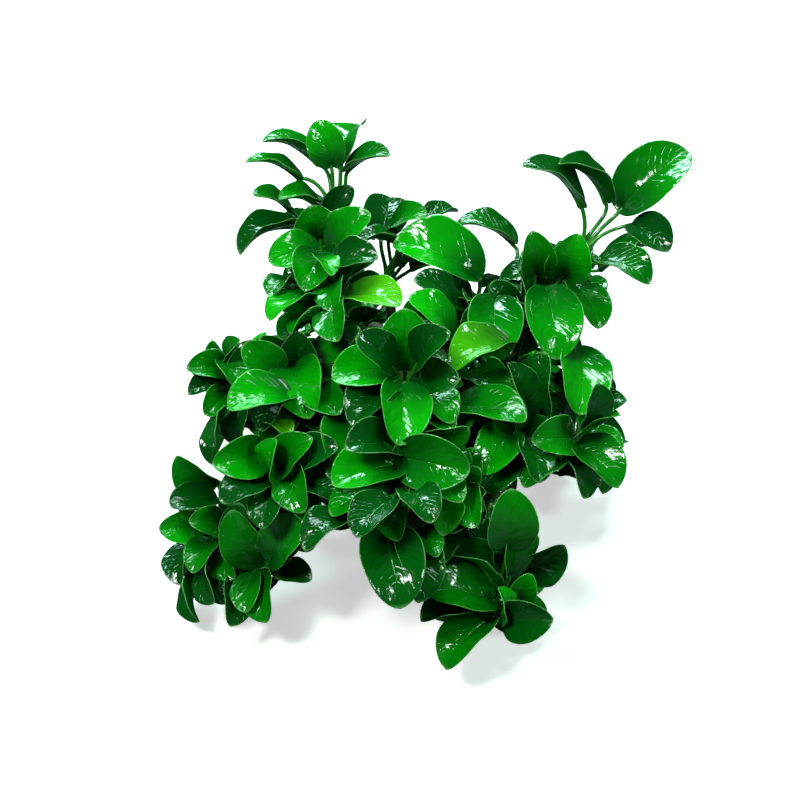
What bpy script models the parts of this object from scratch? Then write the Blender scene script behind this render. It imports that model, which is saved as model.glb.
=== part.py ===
"""A round-leaved anubias that grows over a stone, in metres.

+Z is up, -Y is the side that shows best, and the origin is the middle of the stone's flat
underside. The plant creeps over the stone on four rhizomes. Leafy shoots stand on the rhizomes,
and each shoot is a stem, a crown, and leaves on stalks that grow from the crown.

Leaves are placed as they are seen from the front, from a point 40 degrees above the level:
seen_at() turns a place in that view, and a distance toward the viewer, into a place in space.
"""

from math import acos, atan2, cos, pi, radians, sin, sqrt

import bmesh
import bpy
from mathutils import Matrix, Vector, noise
from mathutils.bvhtree import BVHTree

MM = 0.001

# ---- the view that the leaves were read from
VIEW_ELEVATION = radians(40)
VIEW_DISTANCE = 520 * MM
VIEW_CENTRE = (400, 400)
VIEW_TARGET = Vector((0, 0, 45 * MM))
STEP_PER_PIXEL = 0.37 * MM

# ---- leaves
LEAF_RATIO = 1.3
LEAF_THICKNESS = 0.9 * MM
LEAF_ARCH = 0.07
LEAF_CUP = radians(17)
LEAF_TIP_THINNING = 0.4
ROUND_BASE = 0.44
DRAWN_TIP = 0.54
STALK_WIDTH = 1.0 * MM
STALK_LEAVES_CROWN = 0.45
STALK_MEETS_BLADE = 0.35
STALK_END_ALONG_BLADE = 0.55
BLADE_STATIONS = (0.14, 0.46, 0.84)
SMALL_BLADE = 18.5 * MM
SMALL_BLADE_STATIONS = (0.20, 0.70)
STALK_STATIONS = (0.0, 0.6)

# ---- stems and rhizomes
STEM_RADIUS = 1.9 * MM
RHIZOME_RADIUS = 2.9 * MM
ROOT_RADIUS = 0.7 * MM
GAP = 0.3 * MM

# ---- stone
STONE_CENTRE = Vector((0, 0, 25 * MM))
STONE_HALF = Vector((52 * MM, 39 * MM, 31 * MM))
STONE_TURN = Matrix.Rotation(radians(-60), 3, "Z")
STONE_FACES = 360
STONE_SPHERE_FACES = 1280
STONE_LUMPS = ((1.6, 0.14, Vector((3.1, 0.4, 7.7))), (4.1, 0.05, Vector((1.9, 5.2, 2.3))))
BREAK_SHARPNESS = 0.85
# Flat breaks: the way each one faces, and how far out it lies as a share of the whole form.
STONE_BREAKS = [
    ((-0.85, -0.50, 0.25), 0.90),
    ((0.75, -0.35, 0.55), 0.93),
    ((0.05, 0.40, 0.90), 0.92),
    ((-0.50, 0.80, 0.35), 0.90),
    ((0.80, 0.55, 0.15), 0.92),
    ((0.45, -0.85, 0.30), 0.93),
    ((-0.35, -0.30, 0.90), 0.95),
]

# ---- growth
LIGHT_REACH = 25 * MM
CROWN_DEPTH = 1.0 * MM
CROWN_SPREAD = 1.6 * MM
CROWN_RADIUS = 3.0 * MM
STALK_SWING = 0.04
MOST_SWINGS = 8
FULL_CROWN = 7
INNER_STALKS = 0.45
LEAN_FROM_STONE = 0.55
LEAN_UPWARD = 0.75
FAN_FLATNESS = 0.6
STEM_SPACING = 6 * MM
STEM_TRIES = (1.0, 0.85, 0.7, 0.55, 0.4)
STEM_CHOICES = 14
STEM_STEPS = 3
STEM_SIDES = 5
STEM_KNEE = 0.9
STEM_BEND = 0.35
OUT_FROM_STONE = 0.7
BACK_CROWN_DROP = 10 * MM
YOUNG_LEAN = radians(38)
OLD_LEAN = radians(80)
YOUNG_LENGTH = 17 * MM
OLD_LENGTH = 23 * MM
YOUNG_REACH = 2 * MM
OLD_REACH = 5 * MM
OLD_LEAVES_LOWER = 3.5 * MM
LOWEST_LEAF = 2 * MM
RHIZOME_POINTS = 13
PRESS_REACH = 9 * MM
RHIZOME_SIDES = 6
RHIZOME_WAIST = 0.07
RHIZOME_END = 0.78
ROOT_PLACES = (0.15, 0.4, 0.65, 0.9)
ROOT_STEPS = 6
ROOT_STRIDE = 7 * MM
ROOT_SINKS = 0.25
ROOT_WANDERS = 0.35
SHORTEST_ROOT = 4
CLEARANCE = 0.2 * MM
JOIN_TRIES = 8
JOIN_HAIR = 0.011 * MM
SETTLE_ROUNDS = 40
SETTLE_STEP = 0.5 * MM

GOLDEN_ANGLE = radians(137.5)

# ---- finishes, as read from the wet plant
STONE_COLOUR = (0.045, 0.043, 0.038)
STONE_ROUGHNESS = 0.35
RHIZOME_COLOUR = (0.10, 0.16, 0.035)
RHIZOME_ROUGHNESS = 0.5
LEAF_COLOUR = (0.012, 0.26, 0.010)
LEAF_ROUGHNESS = 0.16

SCREEN_RIGHT = Vector((1, 0, 0))
SCREEN_UP = Vector((0, sin(VIEW_ELEVATION), cos(VIEW_ELEVATION)))
TOWARD_VIEWER = Vector((0, -cos(VIEW_ELEVATION), sin(VIEW_ELEVATION)))
EYE = VIEW_TARGET + TOWARD_VIEWER * VIEW_DISTANCE


def seen_at(across, down, toward):
    """The place that shows at a pixel, `toward` millimetres nearer than the middle of the view."""
    depth = toward * MM
    step = STEP_PER_PIXEL * (VIEW_DISTANCE - depth) / VIEW_DISTANCE
    right = (across - VIEW_CENTRE[0]) * step
    up = (VIEW_CENTRE[1] - down) * step
    return VIEW_TARGET + SCREEN_RIGHT * right + SCREEN_UP * up + TOWARD_VIEWER * depth


# Each rhizome is a hand-laid route in millimetres. Where it is near the stone it is pressed onto it.
RHIZOMES = {
    "rhizome_left": [(-25, 41, 32), (-22, 32, 42), (-20, 18, 48), (-23, 5, 48), (-30, -9, 41),
                     (-38, -22, 31), (-47, -37, 22), (-54, -50, 15)],
    "rhizome_middle": [(-10, 42, 40), (-7, 31, 47), (-2, 16, 53), (2, -4, 54), (5, -20, 50), (6, -34, 43),
                       (8, -46, 32)],
    "rhizome_right": [(11, 38, 34), (23, 21, 40), (30, 4, 43), (34, -12, 41), (34, -30, 36),
                      (31, -44, 28), (31, -58, 20)],
    "rhizome_back": [(-42, 39, 14), (-27, 53, 16), (-5, 52, 17), (15, 41, 17), (31, 24, 16), (41, 4, 15)],
}

# Each shoot: its heart where the leaves spread from (pixel and millimetres toward the viewer),
# how far its crown lies under the heart, in millimetres,
# and its leaves: base pixel, tip pixel, seen width in pixels, and length in millimetres.
# A last number, where there is one, raises a leaf toward the viewer by so many millimetres.
# A minus sign on a length turns the tip away from the viewer, one on a width shows the underside.
SHOOTS = {
    "shoot_top_left": ((328, 168, 12), 17, [
        (331, 165, 317, 115, 44, 20),
        (340, 166, 360, 121, 40, -22),
        (318, 163, 264, 138, 15, 23),
        (300, 178, 246, 161, 14, 21),
        (346, 171, 389, 154, 20, 19),
    ]),
    "shoot_upper_left": ((320, 236, 6), 12, [
        (330, 215, 352, 187, 28, 14, 5),
        (324, 212, 280, 197, 16, 21),
        (320, 238, 312, 205, 50, 15),
        (290, 209, 254, 194, 16, 18),
        (300, 226, 238, 250, 25, 26),
        (333, 256, 368, 213, 40, 24),
    ]),
    "shoot_second_left": ((326, 268, 28), 11, [
        (318, 250, 270, 260, 42, 21),
        (318, 254, 305, 288, 45, 20),
        (318, 259, 332, 273, 18, 12, 5),
        (332, 266, 378, 258, 32, 19),
        (290, 280, 271, 297, 22, 14),
        (312, 297, 269, 318, 22, 20),
        (335, 282, 332, 309, 31, 16),
        (346, 296, 400, 304, 34, 23),
        (335, 305, 338, 341, 36, 18),
        (322, 313, 290, 332, 8, 15),
    ]),
    "shoot_middle_left": ((296, 376, 40), 11, [
        (278, 378, 243, 346, 40, 20),
        (300, 370, 298, 332, 45, 20),
        (294, 367, 308, 415, 57, 24),
        (290, 395, 229, 408, 38, 25),
        (266, 421, 290, 434, 18, 13),
        (345, 352, 358, 328, 18, 12),
    ]),
    "shoot_centre": ((404, 378, 46), 12, [
        (392, 370, 333, 378, 46, 24),
        (405, 366, 405, 309, 60, 24),
        (418, 378, 458, 380, 42, 19),
        (400, 385, 399, 445, 53, 25),
        (350, 418, 342, 469, 55, 23, -8),
    ]),
    "shoot_centre_right": ((452, 394, 36), 11, [
        (458, 378, 511, 399, 32, 21),
        (457, 407, 526, 420, 36, 26),
    ]),
    "shoot_inner_right": ((520, 425, 34), 11, [
        (510, 432, 482, 473, 45, 21),
        (510, 428, 508, 362, 30, 24),
        (545, 420, 545, 352, 35, 25),
    ]),
    "shoot_front_left": ((281, 474, 50), 12, [
        (262, 454, 215, 464, 46, 21),
        (278, 480, 275, 440, 18, 17),
        (283, 470, 309, 438, 35, 18),
        (292, 472, 302, 510, 40, 19),
        (264, 482, 222, 500, 32, 20),
    ]),
    "shoot_centre_low": ((402, 470, 58), 12, [
        (400, 466, 332, 484, 46, 25),
        (395, 490, 330, 512, 30, 24),
        (402, 457, 470, 470, 58, 25),
        (428, 432, 468, 428, 24, 17),
        (402, 495, 398, 541, 38, 20),
        (384, 530, 402, 611, 70, 32),
        (352, 518, 304, 548, 28, 21),
    ]),
    "shoot_middle_low_right": ((455, 494, 54), 11, [
        (418, 532, 437, 556, 25, 14),
        (440, 497, 443, 534, 38, 18),
        (470, 490, 475, 526, 32, 18),
    ]),
    "shoot_low_right": ((500, 600, 48), 10, [
        (508, 548, 511, 490, 52, 23),
        (510, 575, 508, 515, 37, 22),
        (520, 570, 565, 546, 42, 20),
        (522, 598, 530, 576, 28, 12),
        (507, 618, 553, 619, 46, 20),
        (495, 583, 450, 552, 16, 20),
        (492, 600, 428, 590, 42, 24),
        (470, 611, 421, 619, 24, 18),
        (492, 618, 444, 667, 36, 24),
        (500, 622, 500, 588, 14, 13),
    ]),
    "shoot_low_left": ((267, 566, 38), 10, [
        (266, 561, 230, 513, 48, 23),
        (270, 560, 306, 519, 42, 21),
        (263, 572, 265, 622, 38, 20),
        (232, 581, 233, 625, 28, 18),
        (263, 567, 279, 566, 11, 8),
        (280, 572, 311, 580, 24, 14),
    ]),
    "shoot_far_left_low": ((207, 530, 28), 10, [
        (216, 483, 176, 457, 36, 20),
        (215, 498, 170, 505, 28, 19),
        (200, 527, 155, 529, 38, 19),
        (222, 525, 190, 521, 30, 16),
        (212, 541, 192, 571, 30, 17),
        (222, 545, 232, 578, 30, 17),
        (190, 543, 179, 584, 26, 18),
        (199, 571, 197, 622, 13, 20),
        (205, 565, 212, 603, 24, 17),
    ]),
    "shoot_small_left": ((225, 374, 20), 10, [
        (225, 370, 188, 367, 30, 16),
        (222, 386, 189, 392, 24, 15),
        (225, 360, 212, 342, 20, 12),
        (229, 361, 239, 340, 14, 12),
        (222, 362, 240, 389, 22, 15, 4),
        (228, 393, 206, 414, 32, 15),
        (226, 412, 214, 446, 14, 16),
    ]),
    "shoot_top_centre_left": ((388, 250, 2), 11, [
        (381, 238, 391, 196, 50, -20),
        (425, 224, 457, 211, 18, -14),
        (392, 226, 426, 213, 24, 17),
        (397, 242, 360, 241, 12, 15),
    ]),
    "shoot_top_centre_right": ((482, 284, 10), 14, [
        (477, 276, 394, 240, 58, 33),
        (514, 243, 457, 221, 24, 23),
        (455, 305, 415, 279, 28, 20),
        (452, 335, 410, 297, 32, 22),
    ]),
    "shoot_top_right": ((600, 210, 8), 16, [
        (622, 208, 692, 146, 62, 35),
        (606, 201, 560, 162, 17, 24),
        (581, 205, 525, 162, 26, 27),
        (634, 224, 669, 251, 40, 20),
        (600, 260, 650, 281, 36, 22),
    ]),
    "shoot_upper_right": ((546, 284, 18), 11, [
        (563, 275, 578, 236, 48, 20),
        (535, 273, 533, 233, 38, 19),
        (573, 283, 600, 326, 38, 22),
        (546, 290, 558, 357, 60, 28),
    ]),
    "shoot_upper_inner_right": ((497, 308, 24), 11, [
        (495, 300, 492, 362, 58, 26),
        (510, 345, 452, 369, 36, 24),
    ]),
    "shoot_middle_right": ((578, 352, 24), 10, [
        (578, 349, 580, 414, 56, 27),
    ]),
    "shoot_right": ((575, 442, 32), 11, [
        (578, 427, 625, 397, 32, 20),
        (577, 438, 618, 412, 14, 18),
        (572, 440, 533, 440, 42, 19),
        (576, 445, 619, 486, 42, 23),
        (570, 461, 585, 498, 22, 17),
        (560, 462, 524, 485, 26, 18),
    ]),
}

# Shoots on the back: heart in millimetres, number of leaves, and the turn of the first one.
BACK_SHOOTS = {
    "shoot_back_left": ((-56, 44, 22), 7, 0.3),
    "shoot_back_end": ((-18, 74, 23), 7, 1.1),
    "shoot_back_middle": ((16, 62, 27), 7, 2.0),
    "shoot_back_right": ((48, 34, 25), 7, 0.9),
    "shoot_side_right": ((66, 1, 27), 7, 2.6),
}


def smooth_route(points, count):
    """Even samples along a Catmull-Rom curve through the points."""
    padded = [points[0] * 2 - points[1], *points, points[-1] * 2 - points[-2]]
    fine = []
    for a, b, c, d in zip(padded, padded[1:], padded[2:], padded[3:]):
        for step in range(16):
            t = step / 16
            fine.append(0.5 * (2 * b + (c - a) * t + (2 * a - 5 * b + 4 * c - d) * t ** 2
                               + (3 * b - a - 3 * c + d) * t ** 3))
    fine.append(points[-1].copy())
    return resample(fine, count)


def resample(route, count):
    """`count` points at even distances along a fine route."""
    travelled = [0.0]
    for here, there in zip(route, route[1:]):
        travelled.append(travelled[-1] + (there - here).length)
    even = []
    segment = 0
    for index in range(count):
        goal = travelled[-1] * index / (count - 1)
        while segment < len(route) - 2 and travelled[segment + 1] < goal:
            segment += 1
        span = travelled[segment + 1] - travelled[segment]
        share = (goal - travelled[segment]) / span if span else 0.0
        even.append(route[segment].lerp(route[segment + 1], min(1.0, share)))
    return even


def bezier(start, leave, arrive, end, t):
    """A point on a cubic curve."""
    s = 1 - t
    return start * s ** 3 + leave * 3 * s * s * t + arrive * 3 * s * t * t + end * t ** 3


def mesh_from(name, points, faces):
    mesh = bpy.data.meshes.new(name)
    mesh.from_pydata([tuple(point) for point in points], [], faces)
    return mesh


def tube(route, radii, sides):
    """A closed tube along a route, as points and faces. Its end caps are flat."""
    points = []
    faces = []
    across = None
    for index, centre in enumerate(route):
        before = route[max(index - 1, 0)]
        after = route[min(index + 1, len(route) - 1)]
        along = (after - before).normalized()
        if across is None:
            across = along.orthogonal()
        across = (across - along * across.dot(along)).normalized()
        third = along.cross(across)
        for side in range(sides):
            angle = 2 * pi * side / sides
            points.append(centre + (across * cos(angle) + third * sin(angle)) * radii[index])
    for ring in range(len(route) - 1):
        for side in range(sides):
            low = ring * sides + side
            low_next = ring * sides + (side + 1) % sides
            faces.append((low, low_next, low_next + sides, low + sides))
    faces.append(tuple(reversed(range(sides))))
    last = (len(route) - 1) * sides
    faces.append(tuple(last + side for side in range(sides)))
    return points, faces


# ---- stone
def scaled(direction):
    """A unit direction stretched to the stone's half sizes."""
    return Vector([part * half for part, half in zip(direction, STONE_HALF)])


def stone_point(direction):
    """A point of the stone's skin: a long blunt form with broad lumps and a few flat breaks."""
    point = STONE_TURN @ scaled(direction)
    swell = 1.02
    for fineness, height, offset in STONE_LUMPS:
        swell += noise.noise(direction * fineness + offset) * height
    point *= swell
    for facing, share in STONE_BREAKS:
        normal = Vector(facing).normalized()
        reach = share * scaled(STONE_TURN.transposed() @ normal).length
        excess = point.dot(normal) - reach
        if excess > 0:
            point -= normal * excess * BREAK_SHARPNESS
    return STONE_CENTRE + point


def make_stone():
    """The stone, cut flat where it stands."""
    shape = bmesh.new()
    bmesh.ops.create_icosphere(shape, subdivisions=4, radius=1)
    for vertex in shape.verts:
        vertex.co = stone_point(vertex.co.normalized())
    everything = shape.verts[:] + shape.edges[:] + shape.faces[:]
    cut = bmesh.ops.bisect_plane(shape, geom=everything, plane_co=(0, 0, 0), plane_no=(0, 0, 1),
                                 clear_inner=True)
    rim = [item for item in cut["geom_cut"] if isinstance(item, bmesh.types.BMEdge)]
    bmesh.ops.contextual_create(shape, geom=rim)
    bmesh.ops.recalc_face_normals(shape, faces=shape.faces)
    mesh = bpy.data.meshes.new("stone")
    shape.to_mesh(mesh)
    shape.free()
    stone = add_object("stone", mesh)
    fewer = stone.modifiers.new("broad_faces", "DECIMATE")
    fewer.ratio = STONE_FACES / STONE_SPHERE_FACES
    graph = bpy.context.evaluated_depsgraph_get()
    stone.data = bpy.data.meshes.new_from_object(stone.evaluated_get(graph))
    stone.modifiers.clear()
    for vertex in stone.data.vertices:
        if vertex.co.z < GAP:
            vertex.co.z = 0.0
    return stone, tree_of([vertex.co for vertex in stone.data.vertices],
                          [tuple(face.vertices) for face in stone.data.polygons])


# ---- materials
def make_material(name, colour, roughness):
    material = bpy.data.materials.new(name)
    material.use_nodes = True
    shader = material.node_tree.nodes["Principled BSDF"]
    shader.inputs["Base Color"].default_value = (*colour, 1)
    shader.inputs["Roughness"].default_value = roughness
    shader.inputs["Metallic"].default_value = 0.0
    material.diffuse_color = (*colour, 1)
    return material


def add_object(name, mesh):
    made = bpy.data.objects.new(name, mesh)
    bpy.context.scene.collection.objects.link(made)
    return made


def join_solids(name, solids):
    """One closed body from a first solid and others that reach into it."""
    whole = add_object(name, mesh_from(name, *solids[0]))
    if len(solids) == 1:
        return whole
    group = bpy.data.collections.new(name + "_additions")
    for index, (points, faces) in enumerate(solids[1:]):
        piece = bpy.data.objects.new(f"{name}_addition_{index}", mesh_from("addition", points, faces))
        group.objects.link(piece)
    bpy.context.scene.collection.children.link(group)
    union = whole.modifiers.new("union", "BOOLEAN")
    union.operation = "UNION"
    union.operand_type = "COLLECTION"
    union.collection = group
    union.solver = "EXACT"
    graph = bpy.context.evaluated_depsgraph_get()
    joined = bpy.data.meshes.new_from_object(whole.evaluated_get(graph))
    whole.modifiers.clear()
    whole.data = joined
    for piece in list(group.objects):
        bpy.data.objects.remove(piece)
    bpy.data.collections.remove(group)
    return whole


def join_closed(name, stem, leaves):
    """A stem and its leaves as one body, with the leaves a hair thicker each time it isn't closed."""
    for tries in range(JOIN_TRIES):
        made = join_solids(name, [stem] + [leaf.solid(JOIN_HAIR * tries) for leaf in leaves])
        shape = bmesh.new()
        shape.from_mesh(made.data)
        closed = all(len(edge.link_faces) == 2 for edge in shape.edges)
        shape.free()
        if closed:
            return made
        bpy.data.objects.remove(made)
    raise RuntimeError(f"{name} doesn't close")


# ---- leaves
def blade_width(share):
    """Half the blade's width at a share of its length, with its widest place as 1."""
    widest = ROUND_BASE / (ROUND_BASE + DRAWN_TIP)
    peak = widest ** ROUND_BASE * (1 - widest) ** DRAWN_TIP
    return share ** ROUND_BASE * (1 - share) ** DRAWN_TIP / peak


def rings_below(stations, share):
    """The next station under a share of the stalk."""
    return max([station for station in stations if station < share], default=stations[0])


class Leaf:
    """A blade and its stalk, from the crown of a shoot."""

    def __init__(self, shoot, base, tip, seen_width=None, underside=False):
        self.shoot = shoot
        self.first_base = base
        self.first_tip = tip
        self.seen_width = seen_width
        self.underside = underside
        self.shift = 0.0
        self.swing = 0
        self.crown_side = None
        self.set_frame()

    def slid(self, point):
        """A point moved by the leaf's shift, so that it stays where it is seen."""
        way = self.shoot.axis if self.seen_width is None else (EYE - point).normalized()
        return point + way * self.shift

    def set_frame(self):
        """Work out where the blade lies and which way it faces."""
        self.base = self.slid(self.first_base)
        self.tip = self.slid(self.first_tip)
        self.length = (self.tip - self.base).length
        self.along = (self.tip - self.base).normalized()
        light = self.shoot.heart + self.shoot.axis * LIGHT_REACH - (self.base + self.tip) / 2
        if self.seen_width is None:
            self.width = self.length / LEAF_RATIO
            self.normal = (light - self.along * light.dot(self.along)).normalized()
            self.side = self.along.cross(self.normal)
            return
        self.width = max(self.length / LEAF_RATIO, self.seen_width)
        turn = acos(min(1.0, self.seen_width / self.width))
        if self.underside:
            turn = pi - turn
        facing = (TOWARD_VIEWER - self.along * TOWARD_VIEWER.dot(self.along)).normalized()
        side = self.along.cross(facing)
        if side.dot(light) < 0:
            turn = -turn
        self.normal = facing * cos(turn) + side * sin(turn)
        self.side = side * cos(turn) - facing * sin(turn)

    def middle(self, share):
        """A point of the midrib."""
        rise = 4 * share * (1 - share) * LEAF_ARCH * self.length
        return self.base + self.along * share * self.length + self.normal * rise

    def stalk_point(self, share):
        """A point of the stalk, from inside the crown to the blade."""
        shoot = self.shoot
        start = shoot.crown - shoot.axis * CROWN_DEPTH + self.crown_side * CROWN_SPREAD
        reach = (self.base - start).length
        turn = self.swing * GOLDEN_ANGLE
        bend = (SCREEN_RIGHT * cos(turn) + SCREEN_UP * sin(turn)) * reach * STALK_SWING
        bend *= min(self.swing, MOST_SWINGS)
        leave = start + shoot.axis * reach * STALK_LEAVES_CROWN + bend
        ending = self.along * STALK_END_ALONG_BLADE + shoot.axis * (1 - STALK_END_ALONG_BLADE)
        arrive = self.base - ending.normalized() * reach * STALK_MEETS_BLADE + bend
        return bezier(start, leave, arrive, self.base, share)

    def solid(self, spare=0.0):
        """Rings of four points along stalk and blade: edge, top, other edge, underneath."""
        rings = []
        half = STALK_WIDTH / 2 + spare
        side = self.side
        arriving = (self.base - self.stalk_point(0.9)).normalized()
        way = (arriving + self.along).normalized()
        for share in (1.0, *reversed(STALK_STATIONS)):
            here = self.stalk_point(share)
            side = (side - way * side.dot(way)).normalized()
            top = side.cross(way)
            rings.insert(0, (here - side * half, here + top * half, here + side * half, here - top * half))
            below = rings_below(STALK_STATIONS, share)
            way = (self.stalk_point(below + 0.05) - self.stalk_point(below)).normalized()
        for share in SMALL_BLADE_STATIONS if self.length < SMALL_BLADE else BLADE_STATIONS:
            here = self.middle(share)
            half = self.width / 2 * blade_width(share) + spare
            rise = self.normal * half * sin(LEAF_CUP)
            reach = self.side * half * cos(LEAF_CUP)
            lift = self.normal * (LEAF_THICKNESS / 2 * (1 - LEAF_TIP_THINNING * share) + spare)
            rings.append((here - reach + rise, here + lift, here + reach + rise, here - lift))
        points = [point for ring in rings for point in ring]
        points.append(self.middle(1) + self.along * spare)
        faces = [(0, 1, 2, 3)]
        for ring in range(len(rings) - 1):
            left, top, right, under = (ring * 4 + corner for corner in range(4))
            faces += [(left, left + 4, top + 4), (left, top + 4, top),
                      (top, top + 4, right), (top + 4, right + 4, right),
                      (right, right + 4, under + 4), (right, under + 4, under),
                      (under, under + 4, left), (under + 4, left + 4, left)]
        last = (len(rings) - 1) * 4
        for corner in range(4):
            faces.append((last + corner, len(points) - 1, last + (corner + 1) % 4))
        return points, faces


STALK_FACES = 1 + 8 * len(STALK_STATIONS)


class Shoot:
    """A stem that stands on a rhizome, and the crown that its leaves grow from."""

    def __init__(self, name, heart, crown_drop):
        self.name = name
        self.heart = heart
        outward = (heart - STONE_CENTRE).normalized()
        self.axis = (outward * LEAN_FROM_STONE + Vector((0, 0, LEAN_UPWARD))).normalized()
        self.crown = heart - self.axis * crown_drop
        self.leaves = []

    def add_seen_leaf(self, base_across, base_down, tip_across, tip_down, seen_width, length, raised=0):
        """A leaf from its row in the table. Its lean toward the viewer follows from its length."""
        flat = seen_at(base_across, base_down, 0)
        heart_toward = (self.heart - VIEW_TARGET).dot(TOWARD_VIEWER)
        fan = (flat - self.heart + TOWARD_VIEWER * heart_toward).dot(self.axis)
        facing = max(0.5, self.axis.dot(TOWARD_VIEWER))
        base_toward = heart_toward - FAN_FLATNESS * fan / facing + raised * MM
        step = STEP_PER_PIXEL * (VIEW_DISTANCE - base_toward) / VIEW_DISTANCE
        seen_length = sqrt((tip_across - base_across) ** 2 + (tip_down - base_down) ** 2) * step
        lean = sqrt(max(0.0, (length * MM) ** 2 - seen_length ** 2))
        tip_toward = base_toward + (lean if length > 0 else -lean)
        base = seen_at(base_across, base_down, base_toward / MM)
        tip = seen_at(tip_across, tip_down, tip_toward / MM)
        self.leaves.append(Leaf(self, base, tip, abs(seen_width) * step, seen_width < 0))

    def spread_stalks(self):
        """Share the crown's rim out evenly among the stalks, in the order of their leaves."""
        across = self.axis.orthogonal().normalized()
        third = self.axis.cross(across)
        bearings = []
        for leaf in self.leaves:
            outward = leaf.middle(0.3) - self.crown
            bearings.append(atan2(outward.dot(third), outward.dot(across)))
        order = sorted(range(len(bearings)), key=lambda index: bearings[index])
        share = 2 * pi / len(order)
        first = sum(bearings[index] - place * share for place, index in enumerate(order)) / len(order)
        for place, index in enumerate(order):
            turn = first + place * share
            inset = INNER_STALKS if len(order) > FULL_CROWN and place % 2 else 1.0
            self.leaves[index].crown_side = (across * cos(turn) + third * sin(turn)) * inset

    def add_spiral_leaves(self, count, first_turn):
        """Leaves by the rule that they follow on the plant: each older one lies lower and is longer."""
        across = self.axis.orthogonal().normalized()
        third = self.axis.cross(across)
        for index in range(count):
            turn = first_turn + index * GOLDEN_ANGLE
            outward = across * cos(turn) + third * sin(turn)
            age = index / (count - 1)
            lean = YOUNG_LEAN + (OLD_LEAN - YOUNG_LEAN) * age
            along = self.axis * cos(lean) + outward * sin(lean)
            length = YOUNG_LENGTH + (OLD_LENGTH - YOUNG_LENGTH) * age
            out = YOUNG_REACH + (OLD_REACH - YOUNG_REACH) * age
            base = self.heart + outward * out - self.axis * OLD_LEAVES_LOWER * age
            tip = base + along * length
            tip.z = max(tip.z, LOWEST_LEAF)
            self.leaves.append(Leaf(self, base, tip))

    def stem_from(self, place, stone_tree):
        """A stem that stands on a place of a rhizome and turns up into the crown."""
        foot, rhizome_way = place
        _, stone_way = press_on(stone_tree, foot, 0)
        outward = stone_way * OUT_FROM_STONE + (self.crown - foot).normalized()
        outward = (outward - rhizome_way * outward.dot(rhizome_way)).normalized()
        start = foot + outward * (RHIZOME_RADIUS + GAP * 1.6)
        reach = (self.crown - start).length
        line = [start, start + outward * STEM_RADIUS * STEM_KNEE]
        neck = self.crown - self.axis * CROWN_DEPTH * 3
        for step in range(1, STEM_STEPS):
            line.append(bezier(line[1], line[1] + outward * reach * STEM_BEND,
                               neck - self.axis * reach * STEM_BEND, neck, step / STEM_STEPS))
        line.append(neck)
        line.append(self.crown - self.axis * CROWN_DEPTH * 1.6)
        line.append(self.crown + self.axis * CROWN_DEPTH * 0.6)
        radii = [STEM_RADIUS] * (len(line) - 2) + [CROWN_RADIUS, CROWN_RADIUS * 0.95]
        return tube(line, radii, STEM_SIDES)

    def stand_on(self, places, stone_tree, fixed):
        """Choose the nearest place on a rhizome from which the stem is clear of everything else."""
        drop = self.heart - self.crown
        for share in STEM_TRIES:
            self.crown = self.heart - drop * share
            for place in sorted(places, key=lambda place: (place[0] - self.crown).length)[:STEM_CHOICES]:
                solid = self.stem_from(place, stone_tree)
                if any(tree.overlap(tree_of(*solid)) for _, tree in fixed):
                    continue
                places[:] = [other for other in places if (other[0] - place[0]).length > STEM_SPACING]
                return solid
        raise RuntimeError(f"{self.name} has no clear place to stand")


# ---- rhizomes
def press_on(stone_tree, point, distance):
    """The point at a distance from the stone's skin nearest to a point, and the way out from it."""
    skin, normal, _, _ = stone_tree.find_nearest(point)
    return skin + normal * distance, normal


def rhizome_line(stone_tree, route):
    """A rhizome's middle line, pressed onto the stone."""
    points = [Vector(point) * MM for point in route]
    line = smooth_route(points, RHIZOME_POINTS)
    for _ in range(3):
        pressed = [press_on(stone_tree, point, RHIZOME_RADIUS + GAP * 2)[0] for point in line]
        line = [there if (there - here).length < PRESS_REACH else here
                for here, there in zip(line, pressed)]
        line = smooth_route(line, RHIZOME_POINTS)
    return line


def places_on(line):
    """Places along a rhizome where a stem can stand, each with the rhizome's way there."""
    fine = smooth_route(line, RHIZOME_POINTS * 4)
    ways = [(after - before).normalized() for before, after in zip(fine, fine[2:])]
    return list(zip(fine[1:-1], ways))


def raised_clear(stone_tree, line, radii, sides):
    """A tube along a line, raised off the stone's skin until none of it touches."""
    lift = 0.0
    while True:
        raised = []
        for point, radius in zip(line, radii):
            skin, normal, _, _ = stone_tree.find_nearest(point)
            height = (point - skin).dot(normal)
            raised.append(point + normal * max(0.0, radius + GAP + lift - height))
        solid = tube(raised, radii, sides)
        if lift > RHIZOME_RADIUS or not stone_tree.overlap(tree_of(*solid)):
            return raised, solid
        lift += GAP / 2


def root_line(stone_tree, start, heading, wander, obstacles):
    """A root's middle line, which creeps down over the stone from a rhizome."""
    line = [start]
    way = heading.normalized()
    for step in range(ROOT_STEPS):
        ahead, normal = press_on(stone_tree, line[-1] + way * ROOT_STRIDE, ROOT_RADIUS + GAP)
        blocked = any((ahead - point).length < distance for point, distance in obstacles)
        if blocked or ahead.z < ROOT_RADIUS * 3:
            break
        line.append(ahead)
        down = Vector((0, 0, -1))
        sideways = normal.cross(down)
        way = (ahead - line[-2]).normalized() + down * ROOT_SINKS
        way += sideways * ROOT_WANDERS * sin(wander + step * 1.3)
        way = (way - normal * way.dot(normal)).normalized()
    return line


def rhizome_radii(line):
    """Slightly uneven joints, drawn in at both ends."""
    radii = [RHIZOME_RADIUS * (1 - RHIZOME_WAIST * (1 - cos(index * 2.1))) for index in range(len(line))]
    radii[0] *= RHIZOME_END
    radii[-1] *= RHIZOME_END
    return radii


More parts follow.
